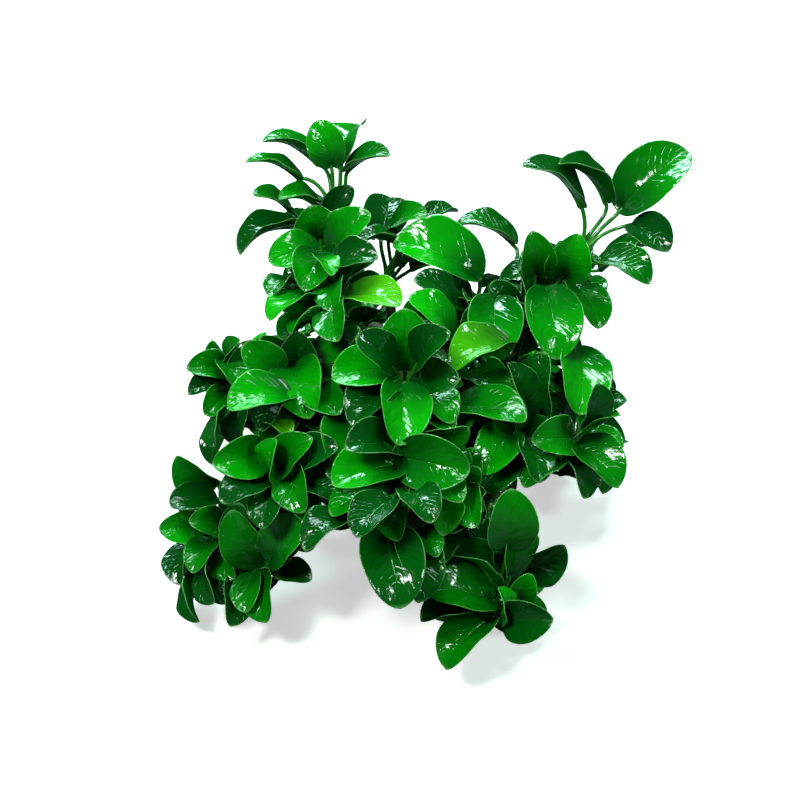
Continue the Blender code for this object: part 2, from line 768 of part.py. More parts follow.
def make_rhizome(name, stone_tree, lines, roots_so_far):
    """A rhizome with its roots. Returns its object, and adds its roots' points to the obstacles."""
    line = lines[name]
    solids = [tube(line, rhizome_radii(line), RHIZOME_SIDES)]
    others = [(point, RHIZOME_RADIUS + ROOT_RADIUS * 3) for other in lines if other != name
              for point in smooth_route(lines[other], RHIZOME_POINTS * 4)]
    for number, share in enumerate(ROOT_PLACES):
        index = round(share * (len(line) - 1))
        along = (line[index + 1] - line[index - 1]).normalized()
        _, normal = press_on(stone_tree, line[index], 0)
        sideways = along.cross(normal).normalized() * (1 if number % 2 else -1)
        start = line[index] + sideways * RHIZOME_RADIUS * 0.4
        creep = root_line(stone_tree, start, sideways * 0.9 + along * 0.2, number * 1.7,
                          others + roots_so_far)
        if len(creep) < SHORTEST_ROOT:
            continue
        roots_so_far += [(point, ROOT_RADIUS * 4) for point in smooth_route(creep, len(creep) * 3)]
        radii = [ROOT_RADIUS] * (len(creep) - 1) + [ROOT_RADIUS * 0.5]
        solids.append(raised_clear(stone_tree, creep, radii, 3)[1])
    return join_solids(name, solids)


# ---- settling
def tree_of(points, faces):
    return BVHTree.FromPolygons([tuple(point) for point in points], faces)


def box_of(points):
    low = Vector((min(p.x for p in points), min(p.y for p in points), min(p.z for p in points)))
    high = Vector((max(p.x for p in points), max(p.y for p in points), max(p.z for p in points)))
    return low, high


def boxes_meet(one, other):
    return all(one[0][k] <= other[1][k] and other[0][k] <= one[1][k] for k in range(3))


def settle(leaves, fixed):
    """Slide leaves along their own line of sight until none cuts another, a stem or the stone."""
    for _ in range(SETTLE_ROUNDS):
        solids = [leaf.solid(CLEARANCE) for leaf in leaves]
        trees = [tree_of(*solid) for solid in solids]
        boxes = [box_of(solid[0]) for solid in solids]
        pushes = [0.0] * len(leaves)
        swings = [False] * len(leaves)
        for one in range(len(leaves)):
            for other in range(one + 1, len(leaves)):
                if not boxes_meet(boxes[one], boxes[other]):
                    continue
                hits = trees[one].overlap(trees[other])
                if leaves[one].shoot is leaves[other].shoot:
                    hits = [hit for hit in hits if min(hit) >= STALK_FACES]
                if not hits:
                    continue
                if any(hit[0] >= STALK_FACES and hit[1] >= STALK_FACES for hit in hits):
                    nearer = (leaves[one].middle(0.5) - leaves[other].middle(0.5)).dot(TOWARD_VIEWER)
                    way = 1 if nearer > 0 else -1
                    pushes[one] += way
                    pushes[other] -= way
                else:
                    for hit in hits:
                        swings[one] |= hit[0] < STALK_FACES
                        swings[other] |= hit[1] < STALK_FACES
        for index, leaf in enumerate(leaves):
            for owner, tree in fixed:
                if owner is leaf.shoot:
                    continue
                hits = trees[index].overlap(tree)
                if any(hit[0] >= STALK_FACES for hit in hits):
                    pushes[index] += 1
                elif hits:
                    swings[index] = True
        for index, leaf in enumerate(leaves):
            leaf.shift += SETTLE_STEP * max(-1, min(1, pushes[index]))
            leaf.swing += swings[index]
            leaf.set_frame()
        if not any(pushes) and not any(swings):
            break


def build():
    for old in list(bpy.data.objects):
        bpy.data.objects.remove(old)
    wet_stone = make_material("wet_dark_stone", STONE_COLOUR, STONE_ROUGHNESS)
    rhizome_skin = make_material("rhizome_skin", RHIZOME_COLOUR, RHIZOME_ROUGHNESS)
    leaf_skin = make_material("wet_leaf", LEAF_COLOUR, LEAF_ROUGHNESS)
    stone, stone_tree = make_stone()
    stone.data.materials.append(wet_stone)

    lines = {}
    for name, route in RHIZOMES.items():
        line = rhizome_line(stone_tree, route)
        lines[name], _ = raised_clear(stone_tree, line, rhizome_radii(line), RHIZOME_SIDES)
    fixed = [(None, stone_tree)]
    roots = []
    for name in lines:
        rhizome = make_rhizome(name, stone_tree, lines, roots)
        rhizome.data.materials.clear()
        rhizome.data.materials.append(rhizome_skin)
        fixed.append((None, BVHTree.FromObject(rhizome, bpy.context.evaluated_depsgraph_get())))

    shoots = []
    for name, (heart, crown_drop, rows) in SHOOTS.items():
        shoot = Shoot(name, seen_at(*heart), crown_drop * MM)
        for row in rows:
            shoot.add_seen_leaf(*row)
        shoots.append(shoot)
    for name, (heart, count, first_turn) in BACK_SHOOTS.items():
        shoot = Shoot(name, Vector(heart) * MM, BACK_CROWN_DROP)
        shoot.add_spiral_leaves(count, first_turn)
        shoots.append(shoot)

    stems = {}
    places = [place for line in lines.values() for place in places_on(line)]
    for shoot in shoots:
        stems[shoot.name] = shoot.stand_on(places, stone_tree, fixed)
        fixed.append((shoot, tree_of(*stems[shoot.name])))

    for shoot in shoots:
        shoot.spread_stalks()
    settle([leaf for shoot in shoots for leaf in shoot.leaves], fixed)

    for shoot in shoots:
        made = join_closed(shoot.name, stems[shoot.name], shoot.leaves)
        made.data.materials.clear()
        made.data.materials.append(leaf_skin)


build()
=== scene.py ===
# %% [markdown]
# # A round-leaved anubias on its stone
#
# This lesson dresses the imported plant: the leaves get their round cupped blades, pale rims and wet
# gloss, the stalks and stems get rings and sheaths, the rhizomes get roots, and the stone gets a
# rough wet skin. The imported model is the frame: nothing in it is moved, and every piece made here
# stands for one of its nodes.
#
# Each step starts with a cell like this one, which says what the thing is on the real plant, how it
# could be made, and why it is made the way that the next cell shows.

# %% Load the frame
from math import acos, atan2, cos, pi, radians, sin, sqrt

import bmesh
import bpy
from mathutils import Matrix, Vector, noise
from mathutils.bvhtree import BVHTree


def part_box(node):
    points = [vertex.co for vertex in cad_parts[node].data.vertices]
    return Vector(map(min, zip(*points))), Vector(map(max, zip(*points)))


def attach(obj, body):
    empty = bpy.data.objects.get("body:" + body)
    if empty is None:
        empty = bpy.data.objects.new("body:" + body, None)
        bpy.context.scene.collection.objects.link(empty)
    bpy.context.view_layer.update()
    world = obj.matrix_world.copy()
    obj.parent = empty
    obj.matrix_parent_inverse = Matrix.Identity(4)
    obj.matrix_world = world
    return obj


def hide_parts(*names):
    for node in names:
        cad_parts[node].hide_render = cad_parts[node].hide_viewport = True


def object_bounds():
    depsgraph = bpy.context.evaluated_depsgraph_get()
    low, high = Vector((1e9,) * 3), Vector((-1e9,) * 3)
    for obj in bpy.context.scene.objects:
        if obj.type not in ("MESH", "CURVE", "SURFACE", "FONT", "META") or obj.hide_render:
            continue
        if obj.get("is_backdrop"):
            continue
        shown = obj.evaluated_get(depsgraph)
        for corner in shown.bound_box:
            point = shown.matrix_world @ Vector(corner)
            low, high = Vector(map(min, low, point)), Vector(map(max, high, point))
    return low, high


MM = 0.001
GOLDEN_ANGLE = radians(137.5)

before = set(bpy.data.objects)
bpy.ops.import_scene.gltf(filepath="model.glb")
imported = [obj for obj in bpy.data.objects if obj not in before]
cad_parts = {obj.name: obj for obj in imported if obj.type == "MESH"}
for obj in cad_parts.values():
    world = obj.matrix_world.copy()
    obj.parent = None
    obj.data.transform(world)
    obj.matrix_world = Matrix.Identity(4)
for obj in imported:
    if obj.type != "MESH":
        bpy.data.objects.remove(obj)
cad_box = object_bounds()
print("the packed model has", len(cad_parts), "nodes")

# %% [markdown]
# ## The camera
#
# The plant is seen from its front, 40 degrees above the level and about half a metre away. The
# camera could be placed by eye, but the leaves below are given by where they show in this view, so
# it is worked out from the same named values: a distance, a height, and the size of one pixel.

# %% Place the camera
VIEW_ELEVATION = radians(40)
VIEW_DISTANCE = 520 * MM
VIEW_CENTRE = (400, 400)
VIEW_TARGET = Vector((0, 0, 45 * MM))
STEP_PER_PIXEL = 0.37 * MM
IMAGE_WIDTH = 800
SENSOR_WIDTH = 36
NEAR_CLIP = 10 * MM

SCREEN_RIGHT = Vector((1, 0, 0))
SCREEN_UP = Vector((0, sin(VIEW_ELEVATION), cos(VIEW_ELEVATION)))
TOWARD_VIEWER = Vector((0, -cos(VIEW_ELEVATION), sin(VIEW_ELEVATION)))
EYE = VIEW_TARGET + TOWARD_VIEWER * VIEW_DISTANCE


def add_camera():
    lens = bpy.data.cameras.new("camera")
    lens.sensor_width = SENSOR_WIDTH
    lens.lens = SENSOR_WIDTH * VIEW_DISTANCE / (STEP_PER_PIXEL * IMAGE_WIDTH)
    lens.clip_start = NEAR_CLIP
    camera = bpy.data.objects.new("camera", lens)
    camera.location = EYE
    camera.rotation_euler = (pi / 2 - VIEW_ELEVATION, 0, 0)
    bpy.context.scene.collection.objects.link(camera)
    bpy.context.scene.camera = camera
    return camera


camera = add_camera()
print("the lens is", round(camera.data.lens, 1), "mm")

# %% [markdown]
# ## Floor and light
#
# Wet leaves show their light: each highlight is the picture of a lamp in a curved skin. A bright sky
# all round would lay a grey veil over every leaf, and a point would give pinpricks. So there are
# four plain soft lamps of middling size: a key over the left shoulder, a fill on the right, and two
# broad ones, behind and overhead, that shine in the leaves that face up. The floor is a plain pale
# sheet under a plain pale sky. A mirror-bright skin would show both as a white haze, so they are
# pale for the camera alone and dim for the light itself. Light Path tells the two apart.

# %% Lay the floor and hang the lamps
FLOOR_SIZE = 6.0
FLOOR_ROUGHNESS = 0.9
FLOOR_SHADE = (0.07, 0.11, 0.08)
FLOOR_SEEN = (0.87, 0.87, 0.87)
FLOOR_GLOW = (0.56, 0.56, 0.56)
SKY_LIGHT = (0.045, 0.090, 0.060)
SKY_SEEN = (0.62, 0.64, 0.66)
NO_LIGHT = (0.0, 0.0, 0.0)
# A Mix node has sockets of every kind. These are its two colours and its mixed colour.
FIRST_COLOUR, SECOND_COLOUR, MIXED_COLOUR = 6, 7, 2
# Each lamp: where it hangs, its two sides in metres, its power in watts and its colour.
LAMPS = {
    "key_lamp": ((-0.55, -0.45, 1.10), (0.26, 0.20), 11.0, (0.92, 1.0, 0.94)),
    "fill_lamp": ((0.85, -0.45, 0.90), (0.22, 0.18), 4.5, (0.78, 1.0, 0.94)),
    "back_lamp": ((-0.10, 0.95, 0.90), (0.80, 0.20), 17.0, (0.56, 1.0, 0.86)),
    "high_lamp": ((0.12, 0.15, 1.25), (0.16, 0.60), 7.0, (0.70, 1.0, 0.90)),
}


def for_camera(tree, dim, seen):
    """A colour that is `dim` for the light itself and `seen` for what the camera looks at."""
    path = tree.nodes.new("ShaderNodeLightPath")
    mix = tree.nodes.new("ShaderNodeMix")
    mix.data_type = "RGBA"
    mix.inputs[FIRST_COLOUR].default_value = (*dim, 1)
    mix.inputs[SECOND_COLOUR].default_value = (*seen, 1)
    tree.links.new(path.outputs["Is Camera Ray"], mix.inputs["Factor"])
    return mix.outputs[MIXED_COLOUR]


def add_floor():
    mesh = bpy.data.meshes.new("floor")
    half = FLOOR_SIZE / 2
    mesh.from_pydata([(-half, -half, 0), (half, -half, 0), (half, half, 0), (-half, half, 0)], [],
                     [(0, 1, 2, 3)])
    floor = bpy.data.objects.new("floor", mesh)
    bpy.context.scene.collection.objects.link(floor)
    paint = bpy.data.materials.new("floor_paper")
    paint.use_nodes = True
    shader = paint.node_tree.nodes["Principled BSDF"]
    shader.inputs["Roughness"].default_value = FLOOR_ROUGHNESS
    shader.inputs["Emission Strength"].default_value = 1
    links = paint.node_tree.links
    links.new(for_camera(paint.node_tree, FLOOR_SHADE, FLOOR_SEEN), shader.inputs["Base Color"])
    links.new(for_camera(paint.node_tree, NO_LIGHT, FLOOR_GLOW), shader.inputs["Emission Color"])
    mesh.materials.append(paint)
    floor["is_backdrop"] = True


def add_lamp(name, place, sides, power, colour):
    light = bpy.data.lights.new(name, "AREA")
    light.shape = "RECTANGLE"
    light.size, light.size_y = sides
    light.energy = power
    light.color = colour
    lamp = bpy.data.objects.new(name, light)
    lamp.location = place
    lamp.rotation_euler = (VIEW_TARGET - Vector(place)).to_track_quat("-Z", "Y").to_euler()
    bpy.context.scene.collection.objects.link(lamp)


add_floor()
for name, values in LAMPS.items():
    add_lamp(name, *values)
world = bpy.data.worlds.new("soft_sky")
bpy.context.scene.world = world
world.use_nodes = True
sky = world.node_tree.nodes["Background"]
world.node_tree.links.new(for_camera(world.node_tree, SKY_LIGHT, SKY_SEEN), sky.inputs["Color"])
bpy.context.scene.view_settings.view_transform = "Standard"
print("lamps:", ", ".join(LAMPS))

# %% [markdown]
# ## Formulas as nodes
#
# Geometry Nodes and shaders both work out numbers with small maths nodes. Adding them one by one
# makes a script that nobody can read. This helper lets a formula be written as a formula: each
# `Field` stands for a socket, and adding or multiplying two of them adds the node that does so.

# %% A helper that writes formulas as nodes
class Field:
    """A number or a vector that a node tree works out at every point."""

    def __init__(self, tree, socket):
        self.tree = tree
        self.socket = socket

    def node(self, kind, operation, others):
        made = self.tree.nodes.new(kind)
        made.operation = operation
        for slot, value in zip(made.inputs, (self, *others)):
            if isinstance(value, Field):
                self.tree.links.new(value.socket, slot)
            else:
                slot.default_value = value
        return Field(self.tree, made.outputs[0])

    def math(self, operation, *others):
        return self.node("ShaderNodeMath", operation, others)

    def vector(self, operation, *others):
        return self.node("ShaderNodeVectorMath", operation, others)

    def __add__(self, other):
        return self.vector("ADD", other) if self.socket.type == "VECTOR" else self.math("ADD", other)

    def __sub__(self, other):
        if self.socket.type == "VECTOR":
            return self.vector("SUBTRACT", other)
        return self.math("SUBTRACT", other)

    def __mul__(self, other):
        if self.socket.type != "VECTOR":
            return self.math("MULTIPLY", other)
        made = self.tree.nodes.new("ShaderNodeVectorMath")
        made.operation = "SCALE"
        self.tree.links.new(self.socket, made.inputs[0])
        if isinstance(other, Field):
            self.tree.links.new(other.socket, made.inputs["Scale"])
        else:
            made.inputs["Scale"].default_value = other
        return Field(self.tree, made.outputs[0])

    def __truediv__(self, other):
        return self.math("DIVIDE", other)

    def __pow__(self, other):
        return self.math("POWER", other)

    def __rsub__(self, other):
        return self * -1 + other

    __radd__ = __add__
    __rmul__ = __mul__


print("formulas can now be written as formulas")

# %% [markdown]
# ## Shader groups: veins, rims, ripples
#
# Three things give a wet leaf its look: a fine pattern of veins that follows the blade, a thin pale
# rim, and a skin that is not quite smooth, so that the lamps' pictures break up in it. Several
# finishes use the ripple, so each effect is a node group with named inputs. The groups put out
# only masks, colours and heights; the shader itself stays in each material.

# %% Helpers for shader groups
def new_group(name, inputs, outputs):
    """A shader group with named sockets. Returns the tree, its inputs as fields, and its end node."""
    tree = bpy.data.node_groups.new(name, "ShaderNodeTree")
    for label, kind, default in inputs:
        socket = tree.interface.new_socket(label, in_out="INPUT", socket_type=kind)
        if default is not None:
            socket.default_value = default
    for label, kind in outputs:
        tree.interface.new_socket(label, in_out="OUTPUT", socket_type=kind)
    start = tree.nodes.new("NodeGroupInput")
    end = tree.nodes.new("NodeGroupOutput")
    return tree, {socket.name: Field(tree, socket) for socket in start.outputs if socket.name}, end


def mix_colours(tree, share, one, other):
    """A mix of two colours, each a field or a plain colour."""
    mix = tree.nodes.new("ShaderNodeMix")
    mix.data_type = "RGBA"
    for label, value in (("Factor", share), (FIRST_COLOUR, one), (SECOND_COLOUR, other)):
        slot = mix.inputs[label]
        if isinstance(value, Field):
            tree.links.new(value.socket, slot)
        elif isinstance(value, tuple):
            slot.default_value = (*value, 1)
        else:
            slot.default_value = value
    return Field(tree, mix.outputs[MIXED_COLOUR])


def noise_field(tree, place, fineness, detail=2.0, roughness=0.5):
    """A smooth random height over space, from 0 to 1."""
    made = tree.nodes.new("ShaderNodeTexNoise")
    made.inputs["Detail"].default_value = detail
    made.inputs["Roughness"].default_value = roughness
    tree.links.new(place.socket, made.inputs["Vector"])
    if isinstance(fineness, Field):
        tree.links.new(fineness.socket, made.inputs["Scale"])
    else:
        made.inputs["Scale"].default_value = fineness
    return Field(tree, made.outputs[0])


def smooth_step(value, low, high):
    """0 below low, 1 above high, and smooth between them."""
    made = value.tree.nodes.new("ShaderNodeMapRange")
    made.interpolation_type = "SMOOTHSTEP"
    value.tree.links.new(value.socket, made.inputs["Value"])
    made.inputs["From Min"].default_value = low
    made.inputs["From Max"].default_value = high
    return Field(value.tree, made.outputs[0])


# %% The vein group
VEINS_PER_SIDE = 11.0
VEIN_SWEEP = 0.34
VEIN_BOW = 1.25
VEIN_LINE = 0.30
VEINS_FADE = (0.02, 0.25)
MIDRIB_TAPER = 0.050
MIDRIB_AT_TIP = 0.014
MIDRIB_EDGE = (0.3, 1.0)
RIM_BAND = (0.962, 0.990)
TIP_BAND = (0.955, 0.998)
TIP_PALENESS = 0.7


def vein_bow(along, outward):
    """A place along the blade, swept toward the tip as the side veins sweep."""
    return along - outward ** VEIN_BOW * VEIN_SWEEP


def make_vein_group():
    """From a place on the blade: how much it lies on the midrib, on a side vein, and on the rim."""
    tree, given, end = new_group("leaf_veins", [
        ("Along", "NodeSocketFloat", 0.5),
        ("Across", "NodeSocketFloat", 0.0),
        ("Veins", "NodeSocketFloat", VEINS_PER_SIDE),
    ], [("Midrib", "NodeSocketFloat"), ("Side veins", "NodeSocketFloat"), ("Rim", "NodeSocketFloat")])
    along = given["Along"]
    outward = given["Across"].math("ABSOLUTE")
    midrib_width = (1 - along) * MIDRIB_TAPER + MIDRIB_AT_TIP
    midrib = 1 - smooth_step(outward / midrib_width, *MIDRIB_EDGE)
    wave = (vein_bow(along, outward) * given["Veins"] * pi).math("SINE").math("ABSOLUTE")
    veins = (1 - smooth_step(wave, 0.0, VEIN_LINE)) * smooth_step(1 - outward, *VEINS_FADE)
    near_tip = smooth_step(along, *TIP_BAND)
    rim = smooth_step(outward, *RIM_BAND).math("MAXIMUM", near_tip * TIP_PALENESS)
    for label, field in (("Midrib", midrib), ("Side veins", veins), ("Rim", rim)):
        tree.links.new(field.socket, end.inputs[label])
    return tree


# %% The water groups
STREAKS_PER_BLADE = 10.0
STREAKS_ACROSS = 2.6
SEED_STEP = 57.0
BROAD_SWELLS = 125.0
FINE_SWELLS = 480.0
# How much streaks, broad swells and fine swells count in the film's height and in its thickness.
HEIGHT_SHARES = (0.36, 0.60, 0.04)
THICK_SHARES = (0.62, 0.38)
THICK_EDGE = (0.45, 0.53)
RIPPLE_SHARES = (0.75, 0.25)
PATCHES_TO_BROAD = 0.45


def make_film_group():
    """The water film on a blade: its uneven height, and where it lies thick enough to shine."""
    tree, given, end = new_group("water_film", [
        ("Along", "NodeSocketFloat", 0.5),
        ("Across", "NodeSocketFloat", 0.0),
        ("Seed", "NodeSocketFloat", 0.0),
        ("Place", "NodeSocketVector", None),
        ("Streaks", "NodeSocketFloat", STREAKS_PER_BLADE),
    ], [("Height", "NodeSocketFloat"), ("Wet", "NodeSocketFloat")])
    bow = vein_bow(given["Along"], given["Across"].math("ABSOLUTE"))
    spot = tree.nodes.new("ShaderNodeCombineXYZ")
    tree.links.new((bow * given["Streaks"]).socket, spot.inputs["X"])
    tree.links.new((given["Across"] * STREAKS_ACROSS).socket, spot.inputs["Y"])
    tree.links.new((given["Seed"] * SEED_STEP).socket, spot.inputs["Z"])
    streaks = noise_field(tree, Field(tree, spot.outputs[0]), 1.0, 1.0)
    broad = noise_field(tree, given["Place"], BROAD_SWELLS, 1.0)
    fine = noise_field(tree, given["Place"], FINE_SWELLS, 1.0)
    height = streaks * HEIGHT_SHARES[0] + broad * HEIGHT_SHARES[1] + fine * HEIGHT_SHARES[2]
    thickness = streaks * THICK_SHARES[0] + broad * THICK_SHARES[1]
    tree.links.new(height.socket, end.inputs["Height"])
    tree.links.new(smooth_step(thickness, *THICK_EDGE).socket, end.inputs["Wet"])
    return tree


def make_ripple_group():
    """A gently uneven skin, as a height, that breaks up the highlights."""
    tree, given, end = new_group("wet_ripple", [
        ("Place", "NodeSocketVector", None),
        ("Broad", "NodeSocketFloat", 170.0),
        ("Fine", "NodeSocketFloat", 650.0),
    ], [("Height", "NodeSocketFloat"), ("Patches", "NodeSocketFloat")])
    broad = noise_field(tree, given["Place"], given["Broad"], 1.0)
    fine = noise_field(tree, given["Place"], given["Fine"], 2.0)
    patches = noise_field(tree, given["Place"], given["Broad"] * PATCHES_TO_BROAD, 2.0)
    tree.links.new((broad * RIPPLE_SHARES[0] + fine * RIPPLE_SHARES[1]).socket, end.inputs["Height"])
    tree.links.new(patches.socket, end.inputs["Patches"])
    return tree


leaf_veins = make_vein_group()
water_film = make_film_group()
wet_ripple = make_ripple_group()
print("groups:", leaf_veins.name, water_film.name, wet_ripple.name)

# %% [markdown]
# ## The leaf's finish
#
# An anubias leaf is stiff and waxy. Young blades are yellow-green, old ones deep green, with a
# paler midrib and a thin pale rim, and the underside is duller. The rim is painted paler still, as a
# painted highlight where the wet edge catches the light, and each blade's heart by the crown is
# painted darker, as painted shade. Painting each leaf would take pictures; instead every blade
# carries numbers for its tone and for each place along and across it, and one material reads them.
# A blade's tone is partly its own green by age and partly painted light and shade: a blade in shade
# gets a deeper tone, one in the light a brighter one. The whole skin is wet and finely uneven, so
# the lamps' pictures break into small crisp patches. Where the film lies thick, in streaks that run
# out with the side veins, a smooth coat shines over the bumps as still water does.

# %% Helpers for materials
def new_material(name, **plain):
    """A material whose shader has plain values, such as Roughness=0.3, set on its own sockets."""
    material = bpy.data.materials.new(name)
    material.use_nodes = True
    shader = material.node_tree.nodes["Principled BSDF"]
    for label, value in plain.items():
        socket = shader.inputs[label.replace("_", " ")]
        socket.default_value = (*value, 1) if isinstance(value, tuple) else value
    return material, material.node_tree, shader


def attribute(tree, name):
    made = tree.nodes.new("ShaderNodeAttribute")
    made.attribute_name = name
    return Field(tree, made.outputs["Fac"])


def object_place(tree):
    return Field(tree, tree.nodes.new("ShaderNodeTexCoord").outputs["Object"])


def use_group(tree, group, **inputs):
    """A group placed in a material. Returns its outputs as fields."""
    made = tree.nodes.new("ShaderNodeGroup")
    made.node_tree = group
    for label, value in inputs.items():
        slot = made.inputs[label.replace("_", " ")]
        if isinstance(value, Field):
            tree.links.new(value.socket, slot)
        else:
            slot.default_value = value
    return {socket.name: Field(tree, socket) for socket in made.outputs}


def raise_bumps(tree, shader, height, distance):
    """Feed a height field to the shader's normals, `distance` metres deep."""
    bump = tree.nodes.new("ShaderNodeBump")
    bump.inputs["Distance"].default_value = distance
    tree.links.new(height.socket, bump.inputs["Height"])
    tree.links.new(bump.outputs["Normal"], shader.inputs["Normal"])


# %% The leaf material
LEAF_DEEP = (0.0003, 0.058, 0.0046)
LEAF_MIDDLE = (0.0005, 0.215, 0.0010)
LEAF_BRIGHT = (0.0016, 0.370, 0.0012)
LEAF_YOUNG = (0.0750, 0.440, 0.0020)
LEAF_UNDERSIDE = (0.0040, 0.150, 0.0080)
# The rim's colour is the leaf's own pale margin, made paler still as a painted highlight where the wet
# edge catches the light.
PALE_RIM_AND_HIGHLIGHT_COLOUR = (0.240, 0.620, 0.170)
MIDRIB_COLOUR = (0.020, 0.300, 0.008)
# The tones at which one green has given way to the next, from deep to young.
TONE_STEPS = (0.0, 0.5, 0.85, 1.0)
# Painted shade at a blade's heart by the crown: how far it reaches along the blade, and how dark it is.
HEART_REACH = 0.72
HEART_PAINTED_SHADE = 0.80
MOTTLE = 0.6
MOTTLE_LEAST = 0.05
UNDERSIDE_BAND = (-0.2, 0.4)
UNDERSIDE_SHARE = 0.5
SIDE_VEIN_SHARE = 0.06
MIDRIB_SHARE = 0.18
RIM_AND_HIGHLIGHT_SHARE = 0.60
RIM_WETNESS = 0.8
SIDE_VEIN_GROOVE = 0.03
MIDRIB_GROOVE = 0.14
DULL_ROUGHNESS = 0.135
WET_ROUGHNESS = 0.075
FILM_SHINE = 0.35
FILM_DEPTH = 1.1 * MM


def make_leaf_material():
    material, tree, shader = new_material("wet_leaf_skin", Coat_Roughness=0.02, Coat_IOR=1.35,
                                          Specular_IOR_Level=0.45)
    tone = attribute(tree, "leaf_tone")
    along = attribute(tree, "leaf_along")
    across = attribute(tree, "leaf_across")
    place = object_place(tree)
    veins = use_group(tree, leaf_veins, Along=along, Across=across)
    film = use_group(tree, water_film, Along=along, Across=across, Seed=attribute(tree, "leaf_seed"),
                     Place=place)
    ripple = use_group(tree, wet_ripple, Place=place)
    colour = LEAF_DEEP
    for low, high, green in zip(TONE_STEPS, TONE_STEPS[1:], (LEAF_MIDDLE, LEAF_BRIGHT, LEAF_YOUNG)):
        colour = mix_colours(tree, smooth_step(tone, low, high), colour, green)
    # Painted shade: each blade is painted darker toward its heart by the crown, where shade falls.
    heart = (1 - smooth_step(along, 0.0, HEART_REACH)) * HEART_PAINTED_SHADE
    mottle = (ripple["Patches"] - 0.5) * MOTTLE + MOTTLE_LEAST
    under = smooth_step(attribute(tree, "leaf_layer") * -1, *UNDERSIDE_BAND)
    # Painted shade at the heart and the rim's painted highlight are mixed in here with the leaf's own
    # mottle, underside and veins.
    for share, paint in ((mottle + heart, LEAF_DEEP), (under * UNDERSIDE_SHARE, LEAF_UNDERSIDE),
                         (veins["Side veins"] * SIDE_VEIN_SHARE, MIDRIB_COLOUR),
                         (veins["Midrib"] * MIDRIB_SHARE, MIDRIB_COLOUR),
                         (veins["Rim"] * RIM_AND_HIGHLIGHT_SHARE, PALE_RIM_AND_HIGHLIGHT_COLOUR)):
        colour = mix_colours(tree, share, colour, paint)
    tree.links.new(colour.socket, shader.inputs["Base Color"])
    wet = film["Wet"].math("MAXIMUM", veins["Rim"] * RIM_WETNESS)
    roughness = wet * (WET_ROUGHNESS - DULL_ROUGHNESS) + DULL_ROUGHNESS
    tree.links.new(roughness.socket, shader.inputs["Roughness"])
    tree.links.new((wet * FILM_SHINE).socket, shader.inputs["Coat Weight"])
    height = film["Height"] - veins["Side veins"] * SIDE_VEIN_GROOVE - veins["Midrib"] * MIDRIB_GROOVE
    raise_bumps(tree, shader, height, FILM_DEPTH)
    return material


leaf_material = make_leaf_material()
print("leaf finish:", leaf_material.name)

# %% [markdown]
# ## Stalk, stem, rhizome and root finishes
#
# Stalks are smooth and bright green. Stems and rhizomes are the same living green, browner where
# they are old and rougher in patches, with a dark line at each ring. Roots are pale when young and
# brown when old. All of them change along their length, so they read the `age` that the curve carries.

# %% Stalk, stem and root materials
STALK_GREEN = (0.008, 0.200, 0.006)
STALK_PALE = (0.035, 0.270, 0.012)
STEM_GREEN = (0.030, 0.170, 0.012)
STEM_BROWN = (0.075, 0.060, 0.018)
ROOT_PALE = (0.300, 0.270, 0.120)
ROOT_BROWN = (0.075, 0.045, 0.018)
AGE_MOTTLE = 0.9
RING_SHARE = 0.55
RING_DARKNESS = 0.35
RING_GROOVE = 0.5
ROUGHNESS_SPREAD = 0.25
# Each finish: its fresh and its old colour, its roughness, its coat, and how deep its bumps are.
SHAFT_FINISHES = {
    "stalk_skin": (STALK_PALE, STALK_GREEN, 0.16, 0.8, 0.3 * MM),
    "stem_skin": (STEM_GREEN, STEM_BROWN, 0.30, 0.5, 0.8 * MM),
    "root_skin": (ROOT_PALE, ROOT_BROWN, 0.40, 0.3, 0.4 * MM),
}


def make_shaft_material(name, fresh, old, roughness, coat, depth):
    """A round shaft that goes from fresh to old along its length, with darker rings."""
    material, tree, shader = new_material(name, Coat_Weight=coat, Coat_Roughness=0.08)
    age = attribute(tree, "age")
    ring = attribute(tree, "ring")
    ripple = use_group(tree, wet_ripple, Place=object_place(tree), Broad=420.0, Fine=1500.0)
    oldness = (age + (ripple["Patches"] - 0.5) * AGE_MOTTLE).math("MAXIMUM", 0.0)
    colour = mix_colours(tree, oldness, fresh, old)
    colour = mix_colours(tree, ring * RING_SHARE, colour, tuple(part * RING_DARKNESS for part in old))
    tree.links.new(colour.socket, shader.inputs["Base Color"])
    uneven = ripple["Patches"] * ROUGHNESS_SPREAD + roughness
    tree.links.new(uneven.socket, shader.inputs["Roughness"])
    raise_bumps(tree, shader, ripple["Height"] - ring * RING_GROOVE, depth)
    return material


stalk_material, stem_material, root_material = (
    make_shaft_material(name, *values) for name, values in SHAFT_FINISHES.items())

# %% [markdown]
# ## The stone's finish
#
# The stone is hidden from the front, so it is a plain dark river stone, wet through. Wet stone is
# darker than dry and glossy in patches, where water lies in the low places. Noise at three sizes
# gives its stains, its grain and its pits, and a fourth noise lays a thin green film in patches.

# %% The stone material
STONE_DARK = (0.012, 0.013, 0.012)
STONE_LIGHT = (0.060, 0.056, 0.047)
STONE_FILM = (0.012, 0.045, 0.010)
# Each noise on the stone: its fineness, its detail and how rough it is.
STAIN_NOISE = (38.0, 5.0, 0.6)
GRAIN_NOISE = (420.0, 4.0, 0.7)
PIT_NOISE = (1300.0, 2.0, 0.6)
FILM_NOISE = (60.0, 3.0)
# How much stains, grain and pits count in the stone's colour and in its height.
COLOUR_SHARES = (0.7, 0.3)
RELIEF_SHARES = (0.5, 0.35, 0.15)
LIGHT_BAND = (0.38, 0.68)
FILM_BAND = (0.48, 0.66)
FILM_SHARE = 0.55
STONE_ROUGHNESS = (0.15, 0.45)
STONE_DEPTH = 1.6 * MM


